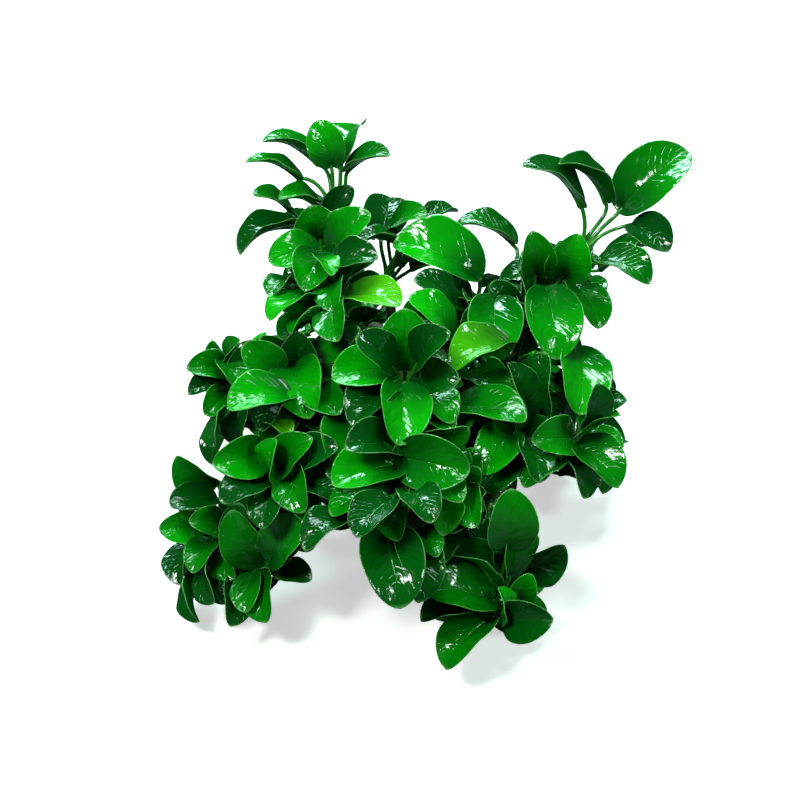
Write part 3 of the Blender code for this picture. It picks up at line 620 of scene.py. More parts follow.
def make_stone_material():
    material, tree, shader = new_material("wet_stone_skin", Coat_Weight=0.35, Coat_Roughness=0.12)
    place = object_place(tree)
    stains = noise_field(tree, place, *STAIN_NOISE)
    grain = noise_field(tree, place, *GRAIN_NOISE)
    pits = noise_field(tree, place, *PIT_NOISE)
    light = smooth_step(stains * COLOUR_SHARES[0] + grain * COLOUR_SHARES[1], *LIGHT_BAND)
    film = smooth_step(noise_field(tree, place, *FILM_NOISE), *FILM_BAND)
    colour = mix_colours(tree, light, STONE_DARK, STONE_LIGHT)
    colour = mix_colours(tree, film * FILM_SHARE, colour, STONE_FILM)
    tree.links.new(colour.socket, shader.inputs["Base Color"])
    tree.links.new((grain * STONE_ROUGHNESS[1] + STONE_ROUGHNESS[0]).socket, shader.inputs["Roughness"])
    relief = stains * RELIEF_SHARES[0] + grain * RELIEF_SHARES[1] + pits * RELIEF_SHARES[2]
    raise_bumps(tree, shader, relief, STONE_DEPTH)
    return material


stone_material = make_stone_material()
print("finishes:", stalk_material.name, stem_material.name, root_material.name, stone_material.name)

# %% [markdown]
# ## Where the leaves are
#
# The imported model has every leaf as a plain solid. To grow a fine blade in the same place, the scene
# repeats the plant's own list: each leaf is named by where its base and tip show in the view, how
# wide it looks, and how long it is. A shoot's letters say how bright each of its leaves is: y for
# young, b for bright, g for fresh, m for middling, t for dark and d for deep. This brightness is
# partly each leaf's own green by age and partly painted light and shade.

# %% The leaves of each shoot
# Each shoot: its heart (pixel and millimetres toward the viewer), how far its crown lies under the
# heart, the tones of its leaves, and its leaves: base pixel, tip pixel, seen width in pixels, length
# in millimetres, and for some how many millimetres they are raised toward the viewer.
# A minus sign on a length turns the tip away from the viewer.
SHOOTS = {
    "shoot_top_left": ((328, 168, 12), 17, "bmmmt", [
        (331, 165, 317, 115, 44, 20), (340, 166, 360, 121, 40, -22),
        (318, 163, 264, 138, 15, 23), (300, 178, 246, 161, 14, 21),
        (346, 171, 389, 154, 20, 19),
    ]),
    "shoot_upper_left": ((320, 236, 6), 12, "dbmmdg", [
        (330, 215, 352, 187, 28, 14, 5), (324, 212, 280, 197, 16, 21),
        (320, 238, 312, 205, 50, 15), (290, 209, 254, 194, 16, 18),
        (300, 226, 238, 250, 25, 26), (333, 256, 368, 213, 40, 24),
    ]),
    "shoot_second_left": ((326, 268, 28), 11, "bmbdtbmymm", [
        (318, 250, 270, 260, 42, 21), (318, 254, 305, 288, 45, 20),
        (318, 259, 332, 273, 18, 12, 5), (332, 266, 378, 258, 32, 19),
        (290, 280, 271, 297, 22, 14), (312, 297, 269, 318, 22, 20),
        (335, 282, 332, 309, 31, 16), (346, 296, 400, 304, 34, 23),
        (335, 305, 338, 341, 36, 18), (322, 313, 290, 332, 8, 15),
    ]),
    "shoot_middle_left": ((296, 376, 40), 11, "mdbbyd", [
        (278, 378, 243, 346, 40, 20), (300, 370, 298, 332, 45, 20),
        (294, 367, 308, 415, 57, 24), (290, 395, 229, 408, 38, 25),
        (266, 421, 290, 434, 18, 13), (345, 352, 358, 328, 18, 12),
    ]),
    "shoot_centre": ((404, 378, 46), 12, "bbdbm", [
        (392, 370, 333, 378, 46, 24), (405, 366, 405, 309, 60, 24),
        (418, 378, 458, 380, 42, 19), (400, 385, 399, 445, 53, 25),
        (350, 418, 342, 469, 55, 23, -8),
    ]),
    "shoot_centre_right": ((452, 394, 36), 11, "mm", [
        (458, 378, 511, 399, 32, 21), (457, 407, 526, 420, 36, 26),
    ]),
    "shoot_inner_right": ((520, 425, 34), 11, "bdd", [
        (510, 432, 482, 473, 45, 21), (510, 428, 508, 362, 30, 24),
        (545, 420, 545, 352, 35, 25),
    ]),
    "shoot_front_left": ((281, 474, 50), 12, "bbmmd", [
        (262, 454, 215, 464, 46, 21), (278, 480, 275, 440, 18, 17),
        (283, 470, 309, 438, 35, 18), (292, 472, 302, 510, 40, 19),
        (264, 482, 222, 500, 32, 20),
    ]),
    "shoot_centre_low": ((402, 470, 58), 12, "bmmmmdd", [
        (400, 466, 332, 484, 46, 25), (395, 490, 330, 512, 30, 24),
        (402, 457, 470, 470, 58, 25), (428, 432, 468, 428, 24, 17),
        (402, 495, 398, 541, 38, 20), (384, 530, 402, 611, 70, 32),
        (352, 518, 304, 548, 28, 21),
    ]),
    "shoot_middle_low_right": ((455, 494, 54), 11, "mmm", [
        (418, 532, 437, 556, 25, 14), (440, 497, 443, 534, 38, 18),
        (470, 490, 475, 526, 32, 18),
    ]),
    "shoot_low_right": ((500, 600, 48), 10, "mmdmdmmdmb", [
        (508, 548, 511, 490, 52, 23), (510, 575, 508, 515, 37, 22),
        (520, 570, 565, 546, 42, 20), (522, 598, 530, 576, 28, 12),
        (507, 618, 553, 619, 46, 20), (495, 583, 450, 552, 16, 20),
        (492, 600, 428, 590, 42, 24), (470, 611, 421, 619, 24, 18),
        (492, 618, 444, 667, 36, 24), (500, 622, 500, 588, 14, 13),
    ]),
    "shoot_low_left": ((267, 566, 38), 10, "mmmdbd", [
        (266, 561, 230, 513, 48, 23), (270, 560, 306, 519, 42, 21),
        (263, 572, 265, 622, 38, 20), (232, 581, 233, 625, 28, 18),
        (263, 567, 279, 566, 11, 8), (280, 572, 311, 580, 24, 14),
    ]),
    "shoot_far_left_low": ((207, 530, 28), 10, "mdbmmmddd", [
        (216, 483, 176, 457, 36, 20), (215, 498, 170, 505, 28, 19),
        (200, 527, 155, 529, 38, 19), (222, 525, 190, 521, 30, 16),
        (212, 541, 192, 571, 30, 17), (222, 545, 232, 578, 30, 17),
        (190, 543, 179, 584, 26, 18), (199, 571, 197, 622, 13, 20),
        (205, 565, 212, 603, 24, 17),
    ]),
    "shoot_small_left": ((225, 374, 20), 10, "mdmmmmd", [
        (225, 370, 188, 367, 30, 16), (222, 386, 189, 392, 24, 15),
        (225, 360, 212, 342, 20, 12), (229, 361, 239, 340, 14, 12),
        (222, 362, 240, 389, 22, 15, 4), (228, 393, 206, 414, 32, 15),
        (226, 412, 214, 446, 14, 16),
    ]),
    "shoot_top_centre_left": ((388, 250, 2), 11, "ddmt", [
        (381, 238, 391, 196, 50, -20), (425, 224, 457, 211, 18, -14),
        (392, 226, 426, 213, 24, 17), (397, 242, 360, 241, 12, 15),
    ]),
    "shoot_top_centre_right": ((482, 284, 10), 14, "btdb", [
        (477, 276, 394, 240, 58, 33), (514, 243, 457, 221, 24, 23),
        (455, 305, 415, 279, 28, 20), (452, 335, 410, 297, 32, 22),
    ]),
    "shoot_top_right": ((600, 210, 8), 16, "mdddt", [
        (622, 208, 692, 146, 62, 35), (606, 201, 560, 162, 17, 24),
        (581, 205, 525, 162, 26, 27), (634, 224, 669, 251, 40, 20),
        (600, 260, 650, 281, 36, 22),
    ]),
    "shoot_upper_right": ((546, 284, 18), 11, "bmmg", [
        (563, 275, 578, 236, 48, 20), (535, 273, 533, 233, 38, 19),
        (573, 283, 600, 326, 38, 22), (546, 290, 558, 357, 60, 28),
    ]),
    "shoot_upper_inner_right": ((497, 308, 24), 11, "my", [
        (495, 300, 492, 362, 58, 26), (510, 345, 452, 369, 36, 24),
    ]),
    "shoot_middle_right": ((578, 352, 24), 10, "b", [
        (578, 349, 580, 414, 56, 27),
    ]),
    "shoot_right": ((575, 442, 32), 11, "dbmmdm", [
        (578, 427, 625, 397, 32, 20), (577, 438, 618, 412, 14, 18),
        (572, 440, 533, 440, 42, 19), (576, 445, 619, 486, 42, 23),
        (570, 461, 585, 498, 22, 17), (560, 462, 524, 485, 26, 18),
    ]),
}

# Shoots on the back: heart in millimetres, number of leaves, and the turn of the first one.
BACK_SHOOTS = {
    "shoot_back_left": ((-56, 44, 22), 7, 0.3),
    "shoot_back_end": ((-18, 74, 23), 7, 1.1),
    "shoot_back_middle": ((16, 62, 27), 7, 2.0),
    "shoot_back_right": ((48, 34, 25), 7, 0.9),
    "shoot_side_right": ((66, 1, 27), 7, 2.6),
}
listed = sum(len(rows) for _, _, _, rows in SHOOTS.values())
print("the list has", listed, "leaves in", len(SHOOTS), "shoots")

# %% From a place in the view to a place in space
def seen_at(across, down, toward):
    """The place that shows at a pixel, `toward` millimetres nearer than the middle of the view."""
    depth = toward * MM
    step = STEP_PER_PIXEL * (VIEW_DISTANCE - depth) / VIEW_DISTANCE
    right = (across - VIEW_CENTRE[0]) * step
    up = (VIEW_CENTRE[1] - down) * step
    return VIEW_TARGET + SCREEN_RIGHT * right + SCREEN_UP * up + TOWARD_VIEWER * depth


print("the middle of the view is at", [round(part / MM) for part in seen_at(*VIEW_CENTRE, 0)], "mm")

# %% [markdown]
# ## Rhizomes and stems
#
# A rhizome is the plant's creeping stem: it lies on the stone, and the leafy stems stand up from
# it. Its line is a smooth curve through a few given points that is pressed onto the stone. Each
# stem starts at the nearest free place of a rhizome, first away from the stone and then up into the
# crown. The imported stone and rhizomes are asked where their skins are, so that nothing cuts them.

# %% Smooth lines
ROUTE_STEPS = 16


def smooth_route(points, count):
    """Even samples along a Catmull-Rom curve through the points."""
    padded = [points[0] * 2 - points[1], *points, points[-1] * 2 - points[-2]]
    fine = []
    for a, b, c, d in zip(padded, padded[1:], padded[2:], padded[3:]):
        for step in range(ROUTE_STEPS):
            t = step / ROUTE_STEPS
            fine.append(0.5 * (2 * b + (c - a) * t + (2 * a - 5 * b + 4 * c - d) * t ** 2
                               + (3 * b - a - 3 * c + d) * t ** 3))
    fine.append(points[-1].copy())
    return resample(fine, count)


def resample(route, count):
    """`count` points at even distances along a fine route."""
    travelled = [0.0]
    for here, there in zip(route, route[1:]):
        travelled.append(travelled[-1] + (there - here).length)
    even = []
    segment = 0
    for index in range(count):
        goal = travelled[-1] * index / (count - 1)
        while segment < len(route) - 2 and travelled[segment + 1] < goal:
            segment += 1
        span = travelled[segment + 1] - travelled[segment]
        share = (goal - travelled[segment]) / span if span else 0.0
        even.append(route[segment].lerp(route[segment + 1], min(1.0, share)))
    return even


def bezier(start, leave, arrive, end, t):
    """A point on a cubic curve."""
    s = 1 - t
    return start * s ** 3 + leave * 3 * s * s * t + arrive * 3 * s * t * t + end * t ** 3


def length_of(line):
    return sum((there - here).length for here, there in zip(line, line[1:]))


def tube(route, radii, sides):
    """A closed tube along a route, as points and faces. Its end caps are flat."""
    points = []
    faces = []
    across = None
    for index, centre in enumerate(route):
        before = route[max(index - 1, 0)]
        after = route[min(index + 1, len(route) - 1)]
        along = (after - before).normalized()
        if across is None:
            across = along.orthogonal()
        across = (across - along * across.dot(along)).normalized()
        third = along.cross(across)
        for side in range(sides):
            angle = 2 * pi * side / sides
            points.append(centre + (across * cos(angle) + third * sin(angle)) * radii[index])
    for ring in range(len(route) - 1):
        for side in range(sides):
            low = ring * sides + side
            low_next = ring * sides + (side + 1) % sides
            faces.append((low, low_next, low_next + sides, low + sides))
    faces.append(tuple(reversed(range(sides))))
    last = (len(route) - 1) * sides
    faces.append(tuple(last + side for side in range(sides)))
    return points, faces


def tree_of(points, faces):
    return BVHTree.FromPolygons([tuple(point) for point in points], faces)


print("helpers: a smooth route, even samples, a cubic curve and a tube")

# %% Lay the rhizomes on the stone
RHIZOME_RADIUS = 2.9 * MM
GAP = 0.3 * MM
RHIZOME_POINTS = 13
RHIZOME_SIDES = 6
RHIZOME_WAIST = 0.07
RHIZOME_WAVE = 2.1
RHIZOME_END = 0.78
PRESS_ROUNDS = 3
PRESS_REACH = 9 * MM
PLACES_PER_POINT = 4
# Each rhizome's route: points in millimetres, from its oldest end to its growing tip.
RHIZOMES = {
    "rhizome_left": [(-25, 41, 32), (-22, 32, 42), (-20, 18, 48), (-23, 5, 48), (-30, -9, 41),
                     (-38, -22, 31), (-47, -37, 22), (-54, -50, 15)],
    "rhizome_middle": [(-10, 42, 40), (-7, 31, 47), (-2, 16, 53), (2, -4, 54), (5, -20, 50), (6, -34, 43),
                       (8, -46, 32)],
    "rhizome_right": [(11, 38, 34), (23, 21, 40), (30, 4, 43), (34, -12, 41), (34, -30, 36),
                      (31, -44, 28), (31, -58, 20)],
    "rhizome_back": [(-42, 39, 14), (-27, 53, 16), (-5, 52, 17), (15, 41, 17), (31, 24, 16), (41, 4, 15)],
}


def press_on(stone_tree, point, distance):
    """The point at a distance from the stone's skin nearest to a point, and the way out from it."""
    skin, normal, _, _ = stone_tree.find_nearest(point)
    return skin + normal * distance, normal


def rhizome_line(stone_tree, route):
    """A rhizome's middle line, pressed onto the stone."""
    points = [Vector(point) * MM for point in route]
    line = smooth_route(points, RHIZOME_POINTS)
    for _ in range(PRESS_ROUNDS):
        pressed = [press_on(stone_tree, point, RHIZOME_RADIUS + GAP * 2)[0] for point in line]
        line = [there if (there - here).length < PRESS_REACH else here
                for here, there in zip(line, pressed)]
        line = smooth_route(line, RHIZOME_POINTS)
    return line


def places_on(line):
    """Places along a rhizome where a stem can stand, each with the rhizome's way there."""
    fine = smooth_route(line, RHIZOME_POINTS * PLACES_PER_POINT)
    ways = [(after - before).normalized() for before, after in zip(fine, fine[2:])]
    return list(zip(fine[1:-1], ways))


def raised_clear(stone_tree, line, radii, sides):
    """A tube along a line, raised off the stone's skin until none of it touches."""
    lift = 0.0
    while True:
        raised = []
        for point, radius in zip(line, radii):
            skin, normal, _, _ = stone_tree.find_nearest(point)
            height = (point - skin).dot(normal)
            raised.append(point + normal * max(0.0, radius + GAP + lift - height))
        solid = tube(raised, radii, sides)
        if lift > RHIZOME_RADIUS or not stone_tree.overlap(tree_of(*solid)):
            return raised, solid
        lift += GAP / 2


def rhizome_radii(line):
    """Slightly uneven joints, drawn in at both ends."""
    radii = [RHIZOME_RADIUS * (1 - RHIZOME_WAIST * (1 - cos(index * RHIZOME_WAVE)))
             for index in range(len(line))]
    radii[0] *= RHIZOME_END
    radii[-1] *= RHIZOME_END
    return radii


def node_shape(name):
    """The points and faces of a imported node."""
    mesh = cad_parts[name].data
    return [vertex.co for vertex in mesh.vertices], [tuple(face.vertices) for face in mesh.polygons]


def tree_of_node(name):
    return tree_of(*node_shape(name))


stone_tree = tree_of_node("stone")
rhizome_lines = {}
for name, route in RHIZOMES.items():
    line = rhizome_line(stone_tree, route)
    rhizome_lines[name], _ = raised_clear(stone_tree, line, rhizome_radii(line), RHIZOME_SIDES)
    print(name, "is", round(length_of(line) / MM), "mm long")

# %% [markdown]
# ## One leaf
#
# A leaf is a blade on a stalk. Its blade has a base, a tip, a side and a face. The face follows from
# how wide the blade looks: a wide blade faces the viewer, a narrow one is turned. Which way it is
# turned is settled by the light, because leaves turn their faces to it.

# %% The leaf
LEAF_RATIO = 1.3
LEAF_THICKNESS = 0.9 * MM
LEAF_ARCH = 0.07
LEAF_CUP = radians(17)
LEAF_TIP_THINNING = 0.4
ROUND_BASE = 0.44
DRAWN_TIP = 0.54
STALK_WIDTH = 1.0 * MM
STALK_LEAVES_CROWN = 0.45
STALK_MEETS_BLADE = 0.35
STALK_END_ALONG_BLADE = 0.55
BLADE_STATIONS = (0.14, 0.46, 0.84)
SMALL_BLADE = 18.5 * MM
SMALL_BLADE_STATIONS = (0.20, 0.70)
STALK_STATIONS = (0.0, 0.6)
STALK_ARRIVING = 0.9
STALK_STEP = 0.05
LIGHT_REACH = 25 * MM
CROWN_DEPTH = 1.0 * MM
CROWN_SPREAD = 1.6 * MM
STALK_SWING = 0.04
MOST_SWINGS = 8


def blade_width(share):
    """Half the blade's width at a share of its length, with its widest place as 1."""
    widest = ROUND_BASE / (ROUND_BASE + DRAWN_TIP)
    peak = widest ** ROUND_BASE * (1 - widest) ** DRAWN_TIP
    return share ** ROUND_BASE * (1 - share) ** DRAWN_TIP / peak


def rings_below(stations, share):
    """The next station under a share of the stalk."""
    return max([station for station in stations if station < share], default=stations[0])


class Leaf:
    """A blade and its stalk, from the crown of a shoot."""

    def __init__(self, shoot, base, tip, seen_width=None):
        self.shoot = shoot
        self.first_base = base
        self.first_tip = tip
        self.seen_width = seen_width
        self.shift = 0.0
        self.swing = 0
        self.crown_side = None
        self.root = None
        self.set_frame()

    def slid(self, point):
        """A point moved by the leaf's shift, so that it stays where it is seen."""
        way = self.shoot.axis if self.seen_width is None else (EYE - point).normalized()
        return point + way * self.shift

    def set_frame(self):
        """Work out where the blade lies and which way it faces."""
        self.base = self.slid(self.first_base)
        self.tip = self.slid(self.first_tip)
        self.length = (self.tip - self.base).length
        self.along = (self.tip - self.base).normalized()
        light = self.shoot.heart + self.shoot.axis * LIGHT_REACH - (self.base + self.tip) / 2
        if self.seen_width is None:
            self.width = self.length / LEAF_RATIO
            self.normal = (light - self.along * light.dot(self.along)).normalized()
            self.side = self.along.cross(self.normal)
            return
        self.width = max(self.length / LEAF_RATIO, self.seen_width)
        turn = acos(min(1.0, self.seen_width / self.width))
        facing = (TOWARD_VIEWER - self.along * TOWARD_VIEWER.dot(self.along)).normalized()
        side = self.along.cross(facing)
        if side.dot(light) < 0:
            turn = -turn
        self.normal = facing * cos(turn) + side * sin(turn)
        self.side = side * cos(turn) - facing * sin(turn)

    def middle(self, share):
        """A point of the midrib."""
        rise = 4 * share * (1 - share) * LEAF_ARCH * self.length
        return self.base + self.along * share * self.length + self.normal * rise

    def stalk_point(self, share):
        """A point of the stalk, from inside the crown to the blade."""
        shoot = self.shoot
        start = self.root or shoot.crown - shoot.axis * CROWN_DEPTH + self.crown_side * CROWN_SPREAD
        reach = (self.base - start).length
        turn = self.swing * GOLDEN_ANGLE
        bend = (SCREEN_RIGHT * cos(turn) + SCREEN_UP * sin(turn)) * reach * STALK_SWING
        bend *= min(self.swing, MOST_SWINGS)
        leave = start + shoot.axis * reach * STALK_LEAVES_CROWN + bend
        ending = self.along * STALK_END_ALONG_BLADE + shoot.axis * (1 - STALK_END_ALONG_BLADE)
        arrive = self.base - ending.normalized() * reach * STALK_MEETS_BLADE + bend
        return bezier(start, leave, arrive, self.base, share)

    def solid(self, spare=0.0):
        """Rings of four points along stalk and blade: edge, top, other edge, underneath."""
        rings = []
        half = STALK_WIDTH / 2 + spare
        side = self.side
        arriving = (self.base - self.stalk_point(STALK_ARRIVING)).normalized()
        way = (arriving + self.along).normalized()
        for share in (1.0, *reversed(STALK_STATIONS)):
            here = self.stalk_point(share)
            side = (side - way * side.dot(way)).normalized()
            top = side.cross(way)
            rings.insert(0, (here - side * half, here + top * half, here + side * half, here - top * half))
            below = rings_below(STALK_STATIONS, share)
            way = (self.stalk_point(below + STALK_STEP) - self.stalk_point(below)).normalized()
        for share in SMALL_BLADE_STATIONS if self.length < SMALL_BLADE else BLADE_STATIONS:
            here = self.middle(share)
            half = self.width / 2 * blade_width(share) + spare
            rise = self.normal * half * sin(LEAF_CUP)
            reach = self.side * half * cos(LEAF_CUP)
            lift = self.normal * (LEAF_THICKNESS / 2 * (1 - LEAF_TIP_THINNING * share) + spare)
            rings.append((here - reach + rise, here + lift, here + reach + rise, here - lift))
        points = [point for ring in rings for point in ring]
        points.append(self.middle(1) + self.along * spare)
        faces = [(0, 1, 2, 3)]
        for ring in range(len(rings) - 1):
            left, top, right, under = (ring * 4 + corner for corner in range(4))
            faces += [(left, left + 4, top + 4), (left, top + 4, top),
                      (top, top + 4, right), (top + 4, right + 4, right),
                      (right, right + 4, under + 4), (right, under + 4, under),
                      (under, under + 4, left), (under + 4, left + 4, left)]
        last = (len(rings) - 1) * 4
        for corner in range(4):
            faces.append((last + corner, len(points) - 1, last + (corner + 1) % 4))
        return points, faces


STALK_FACES = 1 + 8 * len(STALK_STATIONS)
print("a leaf's plain solid has", STALK_FACES, "faces on its stalk")

# %% [markdown]
# ## One shoot
#
# A shoot is a stem with a crown of leaves on it. Its axis leans away from the stone and up to the
# light. The stalks share the crown's rim evenly. The stem tries the nearest places on a rhizome one
# by one, and if none is clear it tries again with its crown nearer to the heart of the leaves.

# %% The shoot
STONE_CENTRE = Vector((0, 0, 25 * MM))
LEAN_FROM_STONE = 0.55
LEAN_UPWARD = 0.75
FAN_FLATNESS = 0.6
LEAST_FACING = 0.5
BEARING_AT = 0.3
FULL_CROWN = 7
INNER_STALKS = 0.45
YOUNG_LEAN = radians(38)
OLD_LEAN = radians(80)
YOUNG_LENGTH = 17 * MM
OLD_LENGTH = 23 * MM
YOUNG_REACH = 2 * MM
OLD_REACH = 5 * MM
OLD_LEAVES_LOWER = 3.5 * MM
LOWEST_LEAF = 2 * MM
OUT_FROM_STONE = 0.7
STEM_RADIUS = 1.9 * MM
STEM_SPACING = 6 * MM
STEM_TRIES = (1.0, 0.85, 0.7, 0.55, 0.4)
STEM_CHOICES = 14
STEM_STEPS = 3
STEM_SIDES = 5
STEM_LIFT = 1.6
STEM_KNEE = 0.9
STEM_BEND = 0.35
CROWN_RADIUS = 3.0 * MM
CROWN_TOP_WIDTH = 0.95
# Where the neck, the widest place and the top of a crown lie, in crown depths below its middle.
NECK_BELOW, WIDEST_BELOW, TOP_ABOVE = 3, 1.6, 0.6


class Shoot:
    """A stem that stands on a rhizome, and the crown that its leaves grow from."""

    def __init__(self, name, heart, crown_drop):
        self.name = name
        self.heart = heart
        outward = (heart - STONE_CENTRE).normalized()
        self.axis = (outward * LEAN_FROM_STONE + Vector((0, 0, LEAN_UPWARD))).normalized()
        self.crown = heart - self.axis * crown_drop
        self.leaves = []

    def add_seen_leaf(self, base_across, base_down, tip_across, tip_down, seen_width, length, raised=0):
        """A leaf from its row in the table. Its lean toward the viewer follows from its length."""
        flat = seen_at(base_across, base_down, 0)
        heart_toward = (self.heart - VIEW_TARGET).dot(TOWARD_VIEWER)
        fan = (flat - self.heart + TOWARD_VIEWER * heart_toward).dot(self.axis)
        facing = max(LEAST_FACING, self.axis.dot(TOWARD_VIEWER))
        base_toward = heart_toward - FAN_FLATNESS * fan / facing + raised * MM
        step = STEP_PER_PIXEL * (VIEW_DISTANCE - base_toward) / VIEW_DISTANCE
        seen_length = sqrt((tip_across - base_across) ** 2 + (tip_down - base_down) ** 2) * step
        lean = sqrt(max(0.0, (length * MM) ** 2 - seen_length ** 2))
        tip_toward = base_toward + (lean if length > 0 else -lean)
        base = seen_at(base_across, base_down, base_toward / MM)
        tip = seen_at(tip_across, tip_down, tip_toward / MM)
        self.leaves.append(Leaf(self, base, tip, seen_width * step))

    def spread_stalks(self):
        """Share the crown's rim out evenly among the stalks, in the order of their leaves."""
        across = self.axis.orthogonal().normalized()
        third = self.axis.cross(across)
        bearings = []
        for leaf in self.leaves:
            outward = leaf.middle(BEARING_AT) - self.crown
            bearings.append(atan2(outward.dot(third), outward.dot(across)))
        order = sorted(range(len(bearings)), key=lambda index: bearings[index])
        share = 2 * pi / len(order)
        first = sum(bearings[index] - place * share for place, index in enumerate(order)) / len(order)
        for place, index in enumerate(order):
            turn = first + place * share
            inset = INNER_STALKS if len(order) > FULL_CROWN and place % 2 else 1.0
            self.leaves[index].crown_side = (across * cos(turn) + third * sin(turn)) * inset

    def add_spiral_leaves(self, count, first_turn):
        """Leaves by the rule that they follow on the plant: each older one lies lower and is longer."""
        across = self.axis.orthogonal().normalized()
        third = self.axis.cross(across)
        for index in range(count):
            turn = first_turn + index * GOLDEN_ANGLE
            outward = across * cos(turn) + third * sin(turn)
            age = index / (count - 1)
            lean = YOUNG_LEAN + (OLD_LEAN - YOUNG_LEAN) * age
            along = self.axis * cos(lean) + outward * sin(lean)
            length = YOUNG_LENGTH + (OLD_LENGTH - YOUNG_LENGTH) * age
            out = YOUNG_REACH + (OLD_REACH - YOUNG_REACH) * age
            base = self.heart + outward * out - self.axis * OLD_LEAVES_LOWER * age
            tip = base + along * length
            tip.z = max(tip.z, LOWEST_LEAF)
            self.leaves.append(Leaf(self, base, tip))

    def stem_from(self, place, stone_tree):
        """A stem that stands on a place of a rhizome and turns up into the crown."""
        foot, rhizome_way = place
        _, stone_way = press_on(stone_tree, foot, 0)
        outward = stone_way * OUT_FROM_STONE + (self.crown - foot).normalized()
        outward = (outward - rhizome_way * outward.dot(rhizome_way)).normalized()
        start = foot + outward * (RHIZOME_RADIUS + GAP * STEM_LIFT)
        reach = (self.crown - start).length
        line = [start, start + outward * STEM_RADIUS * STEM_KNEE]
        neck = self.crown - self.axis * CROWN_DEPTH * NECK_BELOW
        for step in range(1, STEM_STEPS):
            line.append(bezier(line[1], line[1] + outward * reach * STEM_BEND,
                               neck - self.axis * reach * STEM_BEND, neck, step / STEM_STEPS))
        line.append(neck)
        line.append(self.crown - self.axis * CROWN_DEPTH * WIDEST_BELOW)
        line.append(self.crown + self.axis * CROWN_DEPTH * TOP_ABOVE)
        radii = [STEM_RADIUS] * (len(line) - 2) + [CROWN_RADIUS, CROWN_RADIUS * CROWN_TOP_WIDTH]
        self.stem_line = line
        return tube(line, radii, STEM_SIDES)

    def stand_on(self, places, stone_tree, fixed):
        """Choose the nearest place on a rhizome from which the stem is clear of everything else."""
        drop = self.heart - self.crown
        for share in STEM_TRIES:
            self.crown = self.heart - drop * share
            for place in sorted(places, key=lambda place: (place[0] - self.crown).length)[:STEM_CHOICES]:
                solid = self.stem_from(place, stone_tree)
                if any(tree.overlap(tree_of(*solid)) for _, tree in fixed):
                    continue
                places[:] = [other for other in places if (other[0] - place[0]).length > STEM_SPACING]
                self.stem_solid = solid
                return solid
        raise RuntimeError(f"{self.name} has no clear place to stand")


print("a stem tries up to", STEM_CHOICES * len(STEM_TRIES), "places to stand")

# %% [markdown]
# ## Settling
#
# Leaves can't grow through each other. Each plain leaf may slide a little along its own line of
# sight, which changes nothing in the view, until it is clear of its neighbours, the stems and the
# stone. The fine blades are rounder and more cupped than these, so some still cross a neighbour.

# %% Settle the leaves
CLEARANCE = 0.2 * MM
SETTLE_ROUNDS = 40
SETTLE_STEP = 0.5 * MM


def box_of(points):
    low = Vector((min(p.x for p in points), min(p.y for p in points), min(p.z for p in points)))
    high = Vector((max(p.x for p in points), max(p.y for p in points), max(p.z for p in points)))
    return low, high


def boxes_meet(one, other):
    return all(one[0][k] <= other[1][k] and other[0][k] <= one[1][k] for k in range(3))


def settle(leaves, fixed):
    """Slide leaves along their own line of sight until none cuts another, a stem or the stone."""
    for _ in range(SETTLE_ROUNDS):
        solids = [leaf.solid(CLEARANCE) for leaf in leaves]
        trees = [tree_of(*solid) for solid in solids]
        boxes = [box_of(solid[0]) for solid in solids]
        pushes = [0.0] * len(leaves)
        swings = [False] * len(leaves)
        for one in range(len(leaves)):
            for other in range(one + 1, len(leaves)):
                if not boxes_meet(boxes[one], boxes[other]):
                    continue
                hits = trees[one].overlap(trees[other])
                if leaves[one].shoot is leaves[other].shoot:
                    hits = [hit for hit in hits if min(hit) >= STALK_FACES]
                if not hits:
                    continue
                if any(hit[0] >= STALK_FACES and hit[1] >= STALK_FACES for hit in hits):
                    nearer = (leaves[one].middle(0.5) - leaves[other].middle(0.5)).dot(TOWARD_VIEWER)
                    way = 1 if nearer > 0 else -1
                    pushes[one] += way
                    pushes[other] -= way
                else:
                    for hit in hits:
                        swings[one] |= hit[0] < STALK_FACES
                        swings[other] |= hit[1] < STALK_FACES
        for index, leaf in enumerate(leaves):
            for owner, tree in fixed:
                if owner is leaf.shoot:
                    continue
                hits = trees[index].overlap(tree)
                if any(hit[0] >= STALK_FACES for hit in hits):
                    pushes[index] += 1
                elif hits:
                    swings[index] = True
        for index, leaf in enumerate(leaves):
            leaf.shift += SETTLE_STEP * max(-1, min(1, pushes[index]))
            leaf.swing += swings[index]
            leaf.set_frame()
        if not any(pushes) and not any(swings):
            break


print("a leaf slides by", round(SETTLE_STEP / MM, 1), "mm at a time")

# %% Grow the shoots of the list
# Tones from deep to young: partly each leaf's own green by age, partly painted light and shade, deeper for
# leaves that lie in shade.
TONES = {"d": 0.10, "t": 0.26, "m": 0.50, "g": 0.66, "b": 0.82, "y": 1.0}
BACK_TONES = "bbmmdmd"
BACK_CROWN_DROP = 10 * MM


def grow_shoots():
    grown = []
    for name, (heart, crown_drop, tones, rows) in SHOOTS.items():
        shoot = Shoot(name, seen_at(*heart), crown_drop * MM)
        for tone, row in zip(tones, rows):
            shoot.add_seen_leaf(*row)
            shoot.leaves[-1].tone = TONES[tone]
        grown.append(shoot)
    for name, (heart, count, first_turn) in BACK_SHOOTS.items():
        shoot = Shoot(name, Vector(heart) * MM, BACK_CROWN_DROP)
        shoot.add_spiral_leaves(count, first_turn)
        for leaf, tone in zip(shoot.leaves, BACK_TONES):
            leaf.tone = TONES[tone]
        grown.append(shoot)
    return grown


